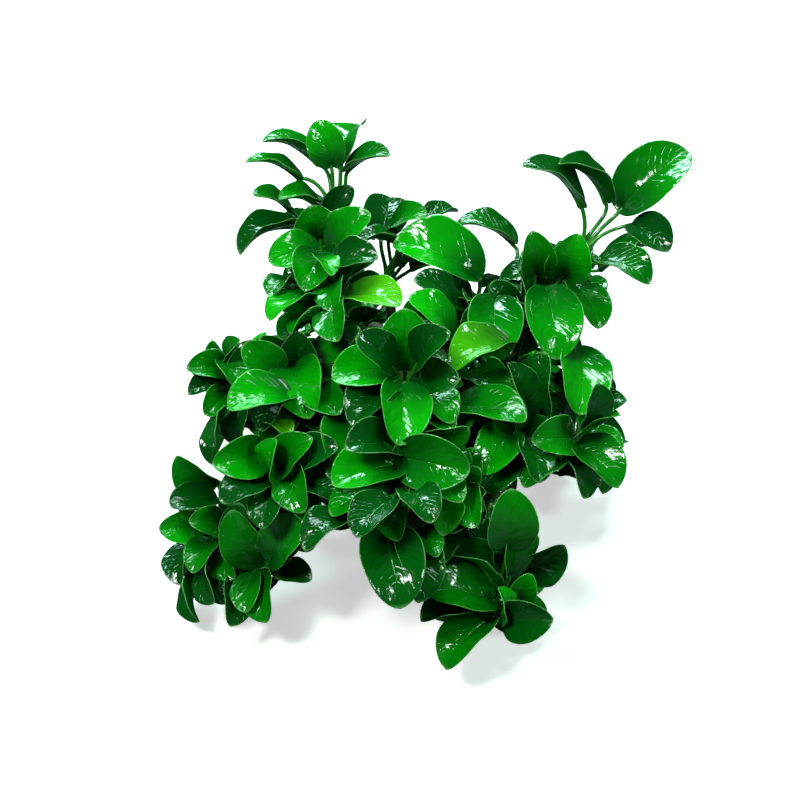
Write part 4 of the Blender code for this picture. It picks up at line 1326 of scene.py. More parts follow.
shoots = grow_shoots()
fixed = [(None, stone_tree)] + [(None, tree_of_node(name)) for name in RHIZOMES]
free_places = [place for line in rhizome_lines.values() for place in places_on(line)]
for shoot in shoots:
    fixed.append((shoot, tree_of(*shoot.stand_on(free_places, stone_tree, fixed))))
for shoot in shoots:
    shoot.spread_stalks()
settle([leaf for shoot in shoots for leaf in shoot.leaves], fixed)
slides = [abs(leaf.shift) for shoot in shoots for leaf in shoot.leaves]
print("the longest slide is", round(max(slides) / MM, 1), "mm")

# %% [markdown]
# ## Older leaves inside the tufts
#
# Under the leaves that show best, each tuft has more: smaller, older and darker ones that fill the
# clump and hide the stone. Their deep tones are partly their age and partly painted shade, for the
# shade inside the clump. They follow the plant's own rule, each 137.5 degrees on from the last, and
# grow from the crown or from the stem below it. A leaf is grown only where its plain form is clear
# of all others, stays within its shoot's reach, and hides hardly any leaf that shows. Where a line of
# sight past it would meet nothing, it must lie where the clump is known to be closed.

# %% The older leaves that show
# Older leaves that show between the others, in rows like those of the list above.
OLDER_LEAVES = {
    "shoot_low_right": ("ddmm", [
        (488, 572, 472, 520, 38, 21), (498, 560, 494, 505, 40, 21),
        (480, 590, 450, 540, 36, 22), (520, 590, 548, 560, 30, 18),
    ]),
    "shoot_front_left": ("dddm", [
        (300, 480, 342, 498, 34, 19), (276, 488, 262, 528, 36, 18),
        (300, 462, 336, 446, 34, 17), (288, 490, 312, 522, 32, 18),
    ]),
    "shoot_low_left": ("ddmd", [
        (250, 552, 238, 504, 40, 20), (284, 556, 306, 536, 30, 17),
        (252, 574, 246, 612, 32, 17), (270, 545, 276, 502, 34, 19),
    ]),
    "shoot_middle_left": ("ddmd", [
        (300, 396, 328, 428, 40, 20), (282, 396, 262, 430, 34, 18),
        (312, 366, 344, 352, 34, 18), (278, 366, 262, 338, 34, 17),
    ]),
    "shoot_centre": ("dmdd", [
        (390, 392, 352, 424, 40, 22), (420, 390, 452, 420, 36, 20),
        (392, 366, 356, 338, 36, 20), (418, 362, 446, 332, 34, 20),
    ]),
    "shoot_centre_low": ("ddmdd", [
        (408, 490, 432, 520, 36, 19), (390, 450, 348, 446, 34, 22),
        (420, 480, 462, 500, 34, 21), (390, 500, 356, 536, 36, 20),
        (402, 536, 420, 602, 46, 25),
    ]),
    "shoot_right": ("dmd", [
        (566, 430, 548, 394, 34, 18), (560, 452, 540, 488, 34, 18),
        (585, 425, 598, 384, 30, 18),
    ]),
    "shoot_small_left": ("ddd", [
        (232, 398, 224, 436, 28, 15), (238, 380, 256, 346, 30, 14),
        (244, 400, 236, 446, 30, 16),
    ]),
    "shoot_upper_inner_right": ("dd", [
        (512, 308, 492, 282, 32, 13), (490, 316, 462, 330, 30, 14),
    ]),
    "shoot_inner_right": ("dmd", [
        (512, 436, 500, 474, 36, 19), (500, 420, 468, 396, 34, 19),
        (526, 440, 540, 480, 34, 19),
    ]),
}
# Round places in the view where the clump is closed: pixel and radius in pixels.
CLOSED_PLACES = (
    (400, 400, 100), (292, 402, 58), (285, 478, 56), (245, 540, 54), (402, 538, 52), (468, 515, 58),
    (490, 590, 46), (560, 420, 50), (322, 252, 44), (338, 300, 34), (478, 332, 38), (296, 306, 26),
    (376, 292, 12), (506, 300, 24), (530, 278, 16), (548, 272, 20), (236, 448, 20), (208, 476, 22),
    (212, 560, 36), (244, 596, 26), (595, 400, 26), (590, 470, 24), (430, 600, 22), (222, 380, 28),
    (300, 215, 18), (590, 300, 22), (640, 262, 14), (268, 345, 18), (540, 565, 18),
)
print("older leaves in the list:", sum(len(rows) for _, rows in OLDER_LEAVES.values()))

# %% Judge a place for an older leaf
FILL_SAMPLES = [(along, across) for along in (0.15, 0.5, 0.85) for across in (-0.4, 0, 0.4)] + [(1.0, 0)]


def seen_pixel(point):
    """Where a place shows in the view."""
    way = point - EYE
    depth = VIEW_DISTANCE + (VIEW_TARGET - point).dot(TOWARD_VIEWER)
    step = STEP_PER_PIXEL * depth / VIEW_DISTANCE
    return VIEW_CENTRE[0] + way.dot(SCREEN_RIGHT) / step, VIEW_CENTRE[1] - way.dot(SCREEN_UP) / step


def in_closed_place(point):
    across, down = seen_pixel(point)
    return any((across - u) ** 2 + (down - v) ** 2 < radius ** 2 for u, v, radius in CLOSED_PLACES)


def sight_distance(tree, way):
    hit = tree.ray_cast(EYE, way)
    return hit[3] if hit[0] is not None else None


def judge(leaf, leaf_tree, body_tree):
    """How many of a blade's samples hide a leaf, lie loose against the background, or close a gap."""
    hiding = loose = closing = 0
    for along, across in FILL_SAMPLES:
        spot = leaf.middle(along) + leaf.side * leaf.width * across
        way = (spot - EYE).normalized()
        reach = (spot - EYE).length
        leaf_reach = sight_distance(leaf_tree, way)
        body_reach = sight_distance(body_tree, way)
        if leaf_reach is not None:
            hiding += leaf_reach > reach
        elif body_reach is not None:
            closing += body_reach > reach
        elif in_closed_place(spot):
            closing += 1
        else:
            loose += 1
    return hiding, loose, closing


def merged_tree(shapes):
    """One search tree of several shapes."""
    points = []
    faces = []
    for some_points, some_faces in shapes:
        start = len(points)
        points += some_points
        faces += [tuple(start + index for index in face) for face in some_faces]
    return tree_of(points, faces)


print("a blade is judged at", len(FILL_SAMPLES), "places")

# %% Propose older leaves
FILL_TRIES = 700
FILL_LEANS = (radians(48), radians(80), radians(24), radians(104), radians(64))
FILL_LENGTHS = (19 * MM, 22 * MM, 14 * MM, 17 * MM)
LOWEST_FILL = 0.30
FILL_CROWDS_UP = 0.6
FILL_SPARE = 3 * MM
STEM_SAMPLES = 40
# Each chance: its least value and how much luck can add.
FILL_SIZE = (0.85, 0.3)
FILL_OUT = (0.15, 0.40)
FILL_RAISED = (0.25, 0.3)
# Painted shade: the older leaves inside a tuft get deep, near-black tones for the shade within the clump.
FILL_SHADED_TONE = (0.02, 0.36)
CHANCE_STEP = 7.31


def chance(*numbers):
    """A number from 0 to 1 that is always the same for the same place in the plant."""
    place = Vector((numbers + (0.5, 0.5, 0.5))[:3])
    return noise.cell(place * CHANCE_STEP + Vector((0.5, 0.5, 0.5))) / 2 + 0.5


def lucky(span, luck):
    """A value in a span of its least value and what luck can add."""
    return span[0] + span[1] * luck


def all_inside(points, low, high, spare):
    """Whether points lie in a box that is `spare` larger all round."""
    return all(low[k] - spare < point[k] < high[k] + spare for point in points for k in range(3))


def candidates(order, shoot):
    """Possible older leaves of a shoot, all round its crown and stem, within the shoot's box."""
    low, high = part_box(shoot.name)
    across = shoot.axis.orthogonal().normalized()
    third = shoot.axis.cross(across)
    line = smooth_route(shoot.stem_line, STEM_SAMPLES)
    found = []
    for number in range(FILL_TRIES):
        turn = order + number * GOLDEN_ANGLE
        outward = across * cos(turn) + third * sin(turn)
        lean = FILL_LEANS[number % len(FILL_LEANS)]
        length = FILL_LENGTHS[number % len(FILL_LENGTHS)] * lucky(FILL_SIZE, chance(order, number, 1))
        height = LOWEST_FILL + (1 - LOWEST_FILL) * chance(order, number, 2) ** FILL_CROWDS_UP
        root = line[round(height * (len(line) - 1))]
        out = lucky(FILL_OUT, chance(number, order))
        raised = lucky(FILL_RAISED, chance(number, order, 4))
        base = root + outward * out * length + shoot.axis * raised * length
        tip = base + (shoot.axis * cos(lean) + outward * sin(lean)) * length
        if min(base.z, tip.z) < LOWEST_LEAF or not all_inside((base, tip), low, high, FILL_SPARE):
            continue
        leaf = Leaf(shoot, base, tip)
        leaf.root = root
        leaf.crown_side = outward
        leaf.tone = lucky(FILL_SHADED_TONE, chance(order, number, 5))
        corners = [leaf.middle(0.5) + leaf.side * leaf.width * side for side in (-0.5, 0.5)]
        if all_inside(corners, low, high, FILL_SPARE):
            found.append(leaf)
    return found


print("each shoot proposes up to", FILL_TRIES, "leaves")

# %% Fill the tufts
MOST_FILL = 18
MOST_HIDING = 1
MOST_LOOSE = 1
OLDER_TRIES = 60


class Crowd:
    """All the leaves so far, and whether one more is clear of them."""

    def __init__(self, grown, held):
        self.held = held
        self.known = []
        for shoot in grown:
            for leaf in shoot.leaves:
                self.add(leaf, *leaf.solid(CLEARANCE))

    def add(self, leaf, points, faces):
        self.known.append((leaf.shoot, box_of(points), tree_of(points, faces)))

    def takes(self, leaf):
        """Add a leaf to its shoot if it is clear of everything but the other stalks of its crown."""
        points, faces = leaf.solid(CLEARANCE / 2)
        box = box_of(points)
        body = tree_of(points, faces)
        if box[0][2] < LOWEST_LEAF / 2:
            return False
        if any(owner is not leaf.shoot and body.overlap(tree) for owner, tree in self.held):
            return False
        for owner, other_box, other in self.known:
            if not boxes_meet(box, other_box):
                continue
            hits = body.overlap(other)
            if owner is leaf.shoot:
                hits = [hit for hit in hits if max(hit) >= STALK_FACES]
            if hits:
                return False
        leaf.shoot.leaves.append(leaf)
        self.add(leaf, points, faces)
        return True


def add_shown_leaves(grown, crowd):
    """The older leaves of the list. Each slides along its line of sight to the nearest free place."""
    added = 0
    for shoot in grown:
        tones, rows = OLDER_LEAVES.get(shoot.name, ("", ()))
        for tone, row in zip(tones, rows):
            shoot.add_seen_leaf(*row)
            leaf = shoot.leaves.pop()
            leaf.tone = TONES[tone]
            leaf.root = shoot.crown - shoot.axis * CROWN_DEPTH * NECK_BELOW
            for number in range(OLDER_TRIES):
                leaf.shift = SETTLE_STEP * ((number + 1) // 2) * (-1 if number % 2 else 1)
                leaf.set_frame()
                if crowd.takes(leaf):
                    added += 1
                    break
    return added


def fill_tufts(grown, crowd):
    """Older leaves in every tuft, first those that close the most gaps."""
    leaf_tree = merged_tree([leaf.solid() for shoot in grown for leaf in shoot.leaves])
    body_tree = merged_tree([node_shape(name) for name in ("stone", *RHIZOMES)]
                            + [shoot.stem_solid for shoot in grown])
    choices = []
    for order, shoot in enumerate(grown):
        for leaf in candidates(order, shoot):
            hiding, loose, closing = judge(leaf, leaf_tree, body_tree)
            if hiding <= MOST_HIDING and loose <= MOST_LOOSE:
                choices.append((-closing, len(choices), leaf))
    counts = {shoot.name: 0 for shoot in grown}
    for _, _, leaf in sorted(choices, key=lambda choice: choice[:2]):
        shoot = leaf.shoot
        if counts[shoot.name] < MOST_FILL and crowd.takes(leaf):
            counts[shoot.name] += 1
    return counts


crowd = Crowd(shoots, fixed)
print("older leaves of the list:", add_shown_leaves(shoots, crowd))
filled = fill_tufts(shoots, crowd)
print("older leaves inside the tufts:", sum(filled.values()))

# %% [markdown]
# ## A tree that grows blades
#
# Every blade is the same rule with other numbers: a round base, a drawn tip, a cup, an arch and a
# wavy edge. Modelling some hundred blades by hand would be slow and uneven. Instead one flat grid is
# placed on a point for each leaf, and a formula moves every point of the grid to its place on the
# blade. Two grids, one for the face and one for the underside, meet at the rim, so each blade is
# a closed skin with a real thickness. A blade at the plant's outer edge is made a little smaller, so
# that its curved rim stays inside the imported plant's box.

# %% Helpers for geometry trees
def new_geometry_tree(name, inputs):
    """A Geometry Nodes tree with named inputs. Returns the tree, its start node and its end node."""
    tree = bpy.data.node_groups.new(name, "GeometryNodeTree")
    tree.interface.new_socket("Geometry", in_out="INPUT", socket_type="NodeSocketGeometry")
    for label, kind, default in inputs:
        socket = tree.interface.new_socket(label, in_out="INPUT", socket_type=kind)
        if default is not None:
            socket.default_value = default
    tree.interface.new_socket("Geometry", in_out="OUTPUT", socket_type="NodeSocketGeometry")
    return tree, tree.nodes.new("NodeGroupInput"), tree.nodes.new("NodeGroupOutput")


def step(tree, kind, settings=None, **inputs):
    """A node, with its settings and its inputs filled from sockets, fields or plain values."""
    made = tree.nodes.new(kind)
    for label, value in (settings or {}).items():
        setattr(made, label, value)
    for label, value in inputs.items():
        slot = made.inputs[label.replace("_", " ")]
        if isinstance(value, Field):
            tree.links.new(value.socket, slot)
        elif isinstance(value, bpy.types.NodeSocket):
            tree.links.new(value, slot)
        else:
            slot.default_value = value
    return made


def named(tree, name, kind="FLOAT"):
    made = step(tree, "GeometryNodeInputNamedAttribute", {"data_type": kind}, Name=name)
    return Field(tree, made.outputs[0])


def store(tree, geometry, name, value):
    made = step(tree, "GeometryNodeStoreNamedAttribute", {"data_type": "FLOAT", "domain": "POINT"},
                Geometry=geometry, Name=name, Value=value)
    return made.outputs[0]


def run_tree(name, mesh, tree, **values):
    """Put a mesh through a tree and keep the result as a plain mesh."""
    maker = bpy.data.objects.new(name, mesh)
    bpy.context.scene.collection.objects.link(maker)
    modifier = maker.modifiers.new("rule", "NODES")
    modifier.node_group = tree
    for item in tree.interface.items_tree:
        if item.item_type == "SOCKET" and item.name.replace(" ", "_") in values:
            modifier[item.identifier] = values[item.name.replace(" ", "_")]
    graph = bpy.context.evaluated_depsgraph_get()
    made = bpy.data.meshes.new_from_object(maker.evaluated_get(graph))
    maker.modifiers.clear()
    bpy.data.objects.remove(maker)
    return made


def points_mesh(name, points, edges, numbers, vectors=None):
    """A mesh of points and edges that carries numbers and vectors on its points."""
    mesh = bpy.data.meshes.new(name)
    mesh.from_pydata([tuple(point) for point in points], edges, [])
    for label, values in numbers.items():
        mesh.attributes.new(label, "FLOAT", "POINT").data.foreach_set("value", values)
    for label, values in (vectors or {}).items():
        flat = [part for value in values for part in value]
        mesh.attributes.new(label, "FLOAT_VECTOR", "POINT").data.foreach_set("vector", flat)
    return mesh


# %% The blade tree
BLADE_ROWS = 18
BLADE_COLUMNS = 21
BLADE_THICKNESS = 0.55 * MM
COLUMN_CROWDING = 0.11
FULL_BASE = 0.41
FULL_TIP = 0.46
CUP_POWER = 1.6
WAVES = 1.7
WAVE_SLANT = 1.4
CURL_FROM = 0.6
PUCKER = 0.024
# Puckers along a blade, across it, and from one blade to the next.
PUCKERS = (4.0, 1.6, 31.0)
LOBE = 0.07
LOBE_ENDS = 5
LOBE_SPREAD = 1.5
RIM_ROUNDNESS = 16
GROOVE_WIDTH = 1.1 * MM
GROOVE_DEPTH = 0.16 * MM
CLOSE_ENOUGH = 0.012 * MM


def make_blade_tree():
    tree, start, end = new_geometry_tree("grow_blades", [
        ("Rows", "NodeSocketInt", BLADE_ROWS),
        ("Columns", "NodeSocketInt", BLADE_COLUMNS),
        ("Thickness", "NodeSocketFloat", BLADE_THICKNESS),
        ("Waves", "NodeSocketFloat", WAVES),
        ("Skin", "NodeSocketMaterial", None),
    ])
    given = {socket.name: Field(tree, socket) for socket in start.outputs if socket.name}
    grid = step(tree, "GeometryNodeMeshGrid", Size_X=1.0, Size_Y=1.0,
                Vertices_X=given["Rows"], Vertices_Y=given["Columns"])
    position = tree.nodes.new("GeometryNodeInputPosition").outputs[0]
    parts = step(tree, "ShaderNodeSeparateXYZ", Vector=position)
    # Rows crowd toward both ends of the blade, and columns toward the midrib and the rim.
    row = 0.5 - ((Field(tree, parts.outputs["X"]) + 0.5) * pi).math("COSINE") * 0.5
    column = Field(tree, parts.outputs["Y"]) * 2
    column = column - (column * 2 * pi).math("SINE") * COLUMN_CROWDING
    flat = store(tree, grid.outputs["Mesh"], "leaf_along", row)
    flat = store(tree, flat, "leaf_across", column)
    face = store(tree, step(tree, "GeometryNodeFlipFaces", Mesh=flat).outputs[0], "leaf_layer", 1.0)
    back = store(tree, flat, "leaf_layer", -1.0)
    both = tree.nodes.new("GeometryNodeJoinGeometry")
    tree.links.new(face, both.inputs[0])
    tree.links.new(back, both.inputs[0])
    placed = step(tree, "GeometryNodeInstanceOnPoints", Points=given["Geometry"], Instance=both.outputs[0])
    real = step(tree, "GeometryNodeRealizeInstances", Geometry=placed.outputs[0])

    along = named(tree, "leaf_along")
    across = named(tree, "leaf_across")
    layer = named(tree, "leaf_layer")
    length = named(tree, "blade_length")
    outward = across.math("ABSOLUTE")
    rest = 1 - along
    widest = FULL_BASE / (FULL_BASE + FULL_TIP)
    peak = widest ** FULL_BASE * (1 - widest) ** FULL_TIP
    half = named(tree, "blade_width") * (0.5 / peak) * along ** FULL_BASE * rest ** FULL_TIP
    hump = along * rest * 4
    # Puckers, cup, arch, waves and a curled tip lift the blade off its flat plane, and a groove sinks.
    spot = tree.nodes.new("ShaderNodeCombineXYZ")
    for slot, field, puckers in zip(spot.inputs, (along, across, named(tree, "leaf_seed")), PUCKERS):
        tree.links.new((field * puckers).socket, slot)
    pucker = (noise_field(tree, Field(tree, spot.outputs[0]), 1.0, 1.0) - 0.5) * length * PUCKER * hump
    cup = named(tree, "cup")
    rise = half * cup.math("SINE") * outward ** CUP_POWER
    arch = length * named(tree, "arch") * hump
    turn = along * given["Waves"] * (2 * pi) + named(tree, "phase") + across * WAVE_SLANT
    wave = length * named(tree, "wave") * turn.math("SINE") * outward ** 2 * hump
    curl = length * named(tree, "curl") * (along - CURL_FROM).math("MAXIMUM", 0.0) ** 2
    # The skin's thickness fades at the rim and at both ends, where the two grids meet.
    flat_of_rim = (1 - outward ** RIM_ROUNDNESS).math("MAXIMUM", 0.0) ** 0.5
    flat_of_ends = (1 - (along * 2 - 1).math("ABSOLUTE") ** RIM_ROUNDNESS).math("MAXIMUM", 0.0) ** 0.5
    groove = (1 - outward * half / GROOVE_WIDTH).math("MAXIMUM", 0.0) ** 2 * rest * GROOVE_DEPTH
    skin = layer * given["Thickness"] * 0.5 * flat_of_rim * flat_of_ends
    # Round lobes reach back past the stalk on both sides.
    lobes = length * LOBE * rest ** LOBE_ENDS * outward ** LOBE_SPREAD

    place = named(tree, "base", "FLOAT_VECTOR")
    place = place + named(tree, "way_along", "FLOAT_VECTOR") * (along * length - lobes)
    place = place + named(tree, "way_side", "FLOAT_VECTOR") * (half * across * cup.math("COSINE"))
    lift = arch + rise + wave + pucker - curl - groove + skin
    place = place + named(tree, "way_face", "FLOAT_VECTOR") * lift
    moved = step(tree, "GeometryNodeSetPosition", Geometry=real.outputs[0], Position=place)
    closed = step(tree, "GeometryNodeMergeByDistance", Geometry=moved.outputs[0], Distance=CLOSE_ENOUGH)
    smooth = step(tree, "GeometryNodeSetShadeSmooth", Geometry=closed.outputs[0])
    finished = step(tree, "GeometryNodeSetMaterial", Geometry=smooth.outputs[0], Material=given["Skin"])
    tree.links.new(finished.outputs[0], end.inputs[0])
    return tree


blade_tree = make_blade_tree()
print("a blade has", BLADE_ROWS, "rows and", BLADE_COLUMNS, "columns on each side")

# %% Grow the blades of a shoot
SMALLEST_SHARE = 88
BOX_MARGIN = 1.4 * MM
RIM_STATIONS = (0.3, 0.5, 0.7, 0.85, 1.0)
# Each span: its least value and what luck can add.
CUPS = (1.0, 1.1)
ARCHES = (1.1, 0.7)
WAVE_HEIGHTS = (0.012, 0.022)
CURLS = (0.10, 0.50)
TONE_SPREAD = 0.10


def share_inside(leaf):
    """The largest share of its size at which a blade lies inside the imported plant's box."""
    for percent in range(100, SMALLEST_SHARE, -1):
        share = percent / 100
        reach = leaf.side * (leaf.width / 2 * share * cos(LEAF_CUP))
        rim = [leaf.middle(share * along) + reach * (blade_width(along) * way)
               for along in RIM_STATIONS for way in (-1, 0, 1)]
        if all_inside(rim, *cad_box, -BOX_MARGIN):
            break
    return share


def grow_blades(order, shoot):
    """All blades of a shoot as one mesh. Luck gives each its own cup, arch, waves, curl and tone."""
    leaves = shoot.leaves
    numbers = {}
    for index, leaf in enumerate(leaves):
        luck = [chance(order, index, salt) for salt in range(4)]
        share = share_inside(leaf)
        cup = LEAF_CUP * lucky(CUPS, luck[0])
        leaf.arch = LEAF_ARCH * lucky(ARCHES, luck[2])
        tone = leaf.tone + TONE_SPREAD * (luck[1] - 0.5)
        own = {
            "blade_length": leaf.length * share,
            "blade_width": leaf.width * share * cos(LEAF_CUP) / cos(cup),
            "cup": cup,
            "arch": leaf.arch,
            "phase": 2 * pi * luck[1],
            "wave": lucky(WAVE_HEIGHTS, luck[2]),
            "curl": lucky(CURLS, luck[3]),
            "leaf_tone": min(1.0, max(0.0, tone)),
            "leaf_seed": luck[0] + luck[3],
        }
        for label, value in own.items():
            numbers.setdefault(label, []).append(value)
    vectors = {"base": [leaf.base for leaf in leaves], "way_along": [leaf.along for leaf in leaves],
               "way_side": [leaf.side for leaf in leaves], "way_face": [leaf.normal for leaf in leaves]}
    mesh = points_mesh("blades", [leaf.base for leaf in leaves], [], numbers, vectors)
    return run_tree("blades", mesh, blade_tree, Skin=leaf_material)


print("a blade at the edge keeps more than", SMALLEST_SHARE, "percent of its size")

# %% [markdown]
# ## A tree that makes round shafts
#
# Stalks, stems, rhizomes and roots are all round and follow a path, so one tree makes them all: it
# turns lines into curves and sweeps a circle along them, with the thickness at each point from a
# number that the line carries. A sweep keeps the rings and swellings where the line says.

# %% The shaft tree
def make_shaft_tree():
    tree, start, end = new_geometry_tree("sweep_shafts", [
        ("Sides", "NodeSocketInt", 12),
        ("Skin", "NodeSocketMaterial", None),
    ])
    given = {socket.name: Field(tree, socket) for socket in start.outputs if socket.name}
    curve = step(tree, "GeometryNodeMeshToCurve", Mesh=given["Geometry"])
    ring = step(tree, "GeometryNodeCurvePrimitiveCircle", Resolution=given["Sides"], Radius=1.0)
    swept = step(tree, "GeometryNodeCurveToMesh", Curve=curve.outputs[0], Profile_Curve=ring.outputs[0],
                 Scale=named(tree, "thick"), Fill_Caps=True)
    smooth = step(tree, "GeometryNodeSetShadeSmooth", Geometry=swept.outputs[0])
    finished = step(tree, "GeometryNodeSetMaterial", Geometry=smooth.outputs[0], Material=given["Skin"])
    tree.links.new(finished.outputs[0], end.inputs[0])
    return tree


shaft_tree = make_shaft_tree()


def sweep(name, lines, sides, skin):
    """Shafts along lines. Each line is a list of (point, radius, age, ring)."""
    points = []
    edges = []
    for line in lines:
        edges += [(len(points) + index, len(points) + index + 1) for index in range(len(line) - 1)]
        points += line
    numbers = {"thick": [point[1] for point in points], "age": [point[2] for point in points],
               "ring": [point[3] for point in points]}
    mesh = points_mesh(name, [point[0] for point in points], edges, numbers)
    return run_tree(name, mesh, shaft_tree, Sides=sides, Skin=skin)


print("the shaft tree is", shaft_tree.name)

# %% Stalks
STALK_STEPS = 11
STALK_RADIUS = 0.70 * MM
# A stalk is thicker under a longer blade: its least share, what length adds, and a long blade.
STALK_GROWTH = (0.75, 0.4)
LONG_BLADE = 24 * MM
SHEATH_RADIUS = 1.35 * MM
SHEATH_SHARE = 0.34
SHEATH_TAPER = 1.4
KEEL_STEPS = 6
KEEL_SHARE = 0.62
KEEL_DEPTH = 0.10 * MM
KEEL_SINKS = 0.75
KEEL_WIDTHS = (0.18, 0.82)
KEEL_AGE = 0.8


def keel_point(leaf, share, depth):
    """A place under the blade's midrib, which follows the arch of the blade."""
    rise = 4 * share * (1 - share) * leaf.arch * leaf.length
    return leaf.base + leaf.along * share * leaf.length + leaf.normal * (rise - depth)


def stalk_line(leaf):
    """From the sheath in the crown to the blade, and on under the midrib as a fading keel."""
    line = []
    radius = STALK_RADIUS * lucky(STALK_GROWTH, min(1.0, leaf.length / LONG_BLADE))
    for index in range(STALK_STEPS):
        share = index / STALK_STEPS
        sheath = max(0.0, 1 - share / SHEATH_SHARE) ** SHEATH_TAPER
        line.append((leaf.stalk_point(share), radius + (SHEATH_RADIUS - radius) * sheath, share, 0.0))
    for index in range(KEEL_STEPS + 1):
        share = KEEL_SHARE * index / KEEL_STEPS
        fade = 1 - index / KEEL_STEPS
        depth = radius * fade * KEEL_SINKS + GROOVE_DEPTH * (1 - share) + KEEL_DEPTH
        line.append((keel_point(leaf, share, depth), radius * lucky(KEEL_WIDTHS, fade), KEEL_AGE, 0.0))
    return line


print("a stalk has", STALK_STEPS, "steps, and its keel", KEEL_STEPS)

# %% Stems
RING_STEP = 2.3 * MM
RING_HEIGHT = 0.13
RING_SHARPNESS = 5
SAMPLE_STEP = 0.46 * MM
FEWEST_SAMPLES = 6
# The crown's swelling: its place on the stem, how far it reaches, and how much of it shows.
CROWN_AT = 0.9
CROWN_REACH = 0.16
CROWN_SHARE = 0.7
CROWN_CLOSES = 0.1
TOP_WIDTHS = (0.35, 0.65)


def ringed_line(route, radius_at, age_at):
    """Fine samples along a route, with a swollen ring at every joint."""
    length = length_of(route)
    count = max(FEWEST_SAMPLES, round(length / SAMPLE_STEP))
    line = []
    for index, point in enumerate(smooth_route(route, count)):
        share = index / (count - 1)
        joint = max(0.0, cos(2 * pi * share * length / RING_STEP)) ** RING_SHARPNESS
        line.append((point, radius_at(share) * (1 + RING_HEIGHT * joint), age_at(share), joint))
    return line


def stem_radius(share):
    """Even up to the neck, swollen under the crown, and rounded off at its top."""
    swell = max(0.0, 1 - abs(share - CROWN_AT) / CROWN_REACH)
    close = sqrt(max(0.0, 1 - max(0.0, (share - CROWN_AT) / CROWN_CLOSES) ** 2))
    widest = STEM_RADIUS + (CROWN_RADIUS - STEM_RADIUS) * CROWN_SHARE * swell
    return widest * lucky(TOP_WIDTHS, close)


def join_meshes(name, meshes):
    """Several meshes as one object, each keeping its own material."""
    made = []
    for mesh in meshes:
        thing = bpy.data.objects.new(name, mesh)
        bpy.context.scene.collection.objects.link(thing)
        made.append(thing)
    for thing in bpy.context.selected_objects:
        thing.select_set(False)
    for thing in made:
        thing.select_set(True)
    bpy.context.view_layer.objects.active = made[0]
    if len(made) > 1:
        bpy.ops.object.join()
    made[0].name = name
    return made[0]


def faces_out(thing):
    """Turn every closed skin of a piece so that its faces point outwards."""
    shape = bmesh.new()
    shape.from_mesh(thing.data)
    bmesh.ops.recalc_face_normals(shape, faces=shape.faces)
    shape.to_mesh(thing.data)
    shape.free()


print("a stem has a ring every", round(RING_STEP / MM, 1), "mm")

# %% [markdown]
# ## The tufts
#
# Each tuft is one piece: its stem, its stalks and its blades, in three finishes. It stands for the
# plain solid of its shoot.

# %% Build the tufts
STALK_SIDES = 9
ROUND_STEM_SIDES = 16


def make_tuft(order, shoot):
    blades = grow_blades(order, shoot)
    stalks = sweep("stalks", [stalk_line(leaf) for leaf in shoot.leaves], STALK_SIDES, stalk_material)
    stem_line = ringed_line(shoot.stem_line, stem_radius, lambda share: 1 - share)
    stem = sweep("stem", [stem_line], ROUND_STEM_SIDES, stem_material)
    tuft = join_meshes(shoot.name.replace("shoot", "tuft"), [blades, stalks, stem])
    faces_out(tuft)
    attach(tuft, "root")
    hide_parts(shoot.name)
    return tuft


tufts = [make_tuft(order, shoot) for order, shoot in enumerate(shoots)]
print(len(tufts), "tufts with", sum(len(shoot.leaves) for shoot in shoots), "leaves,",
      sum(len(tuft.data.polygons) for tuft in tufts), "faces")

# %% [markdown]
# ## Rhizomes and roots
#
# The rhizome is thick, ringed and slightly knotted. Roots leave it on both sides and creep down over
# the stone, where they cling. A root's path is a walk: a short stride, back onto the skin of the
# stone, and a turn that wanders but always sinks.

# %% Rhizomes with their roots
ROOT_RADIUS = 0.55 * MM
ROOT_TAPER = 0.6
ROOT_YOUTH = 0.8
ROOT_SIDES = 8
# A root's walk: its stride, and how much each stride sinks, wanders and turns.
ROOT_STRIDE = 2.6 * MM
ROOT_SINKS = 0.25
ROOT_WANDERS = 0.40
ROOT_TURNS = 0.8
ROOT_PHASE = 1.7
ROOT_HEIGHT = 0.8
ROOT_LOWEST = 1.5 * MM
# Strides: the most in a root, the share of them that it has, the fewest, and the longest leap.
ROOT_STRIDES = 20
ROOT_LENGTHS = (0.45, 0.55)
SHORTEST_ROOT = 4
LONGEST_LEAP = 2.5
# Where roots start: how far apart, how far out on the rhizome, and which way they head.
ROOT_EVERY = 6.5 * MM
FARTHEST_FROM_STONE = 3
ROOT_START = 0.5
ROOT_OUTWARD = 0.9
ROOT_SLANT = 0.5
RHIZOME_TUBE_SIDES = 18
# From old to young, how wide the ends are and how soon they widen, and the slow knots between.
RHIZOME_AGES = (0.9, -0.7)
RHIZOME_ENDS = (0.45, 0.03)
RHIZOME_KNOTS = (0.97, 0.05)
RHIZOME_KNOT_TURNS = 41


def creep(start, heading, wander, strides):
    """A root's path down over the stone."""
    path = [start]
    way = heading.normalized()
    for stride in range(strides):
        ahead, normal = press_on(stone_tree, path[-1] + way * ROOT_STRIDE, ROOT_RADIUS * ROOT_HEIGHT)
        if ahead.z < ROOT_LOWEST or (ahead - path[-1]).length > ROOT_STRIDE * LONGEST_LEAP:
            break
        path.append(ahead)
        down = Vector((0, 0, -1))
        way = (ahead - path[-2]).normalized() + down * ROOT_SINKS
        way += normal.cross(down) * ROOT_WANDERS * sin(wander + stride * ROOT_TURNS)
        way = (way - normal * way.dot(normal)).normalized()
    return path


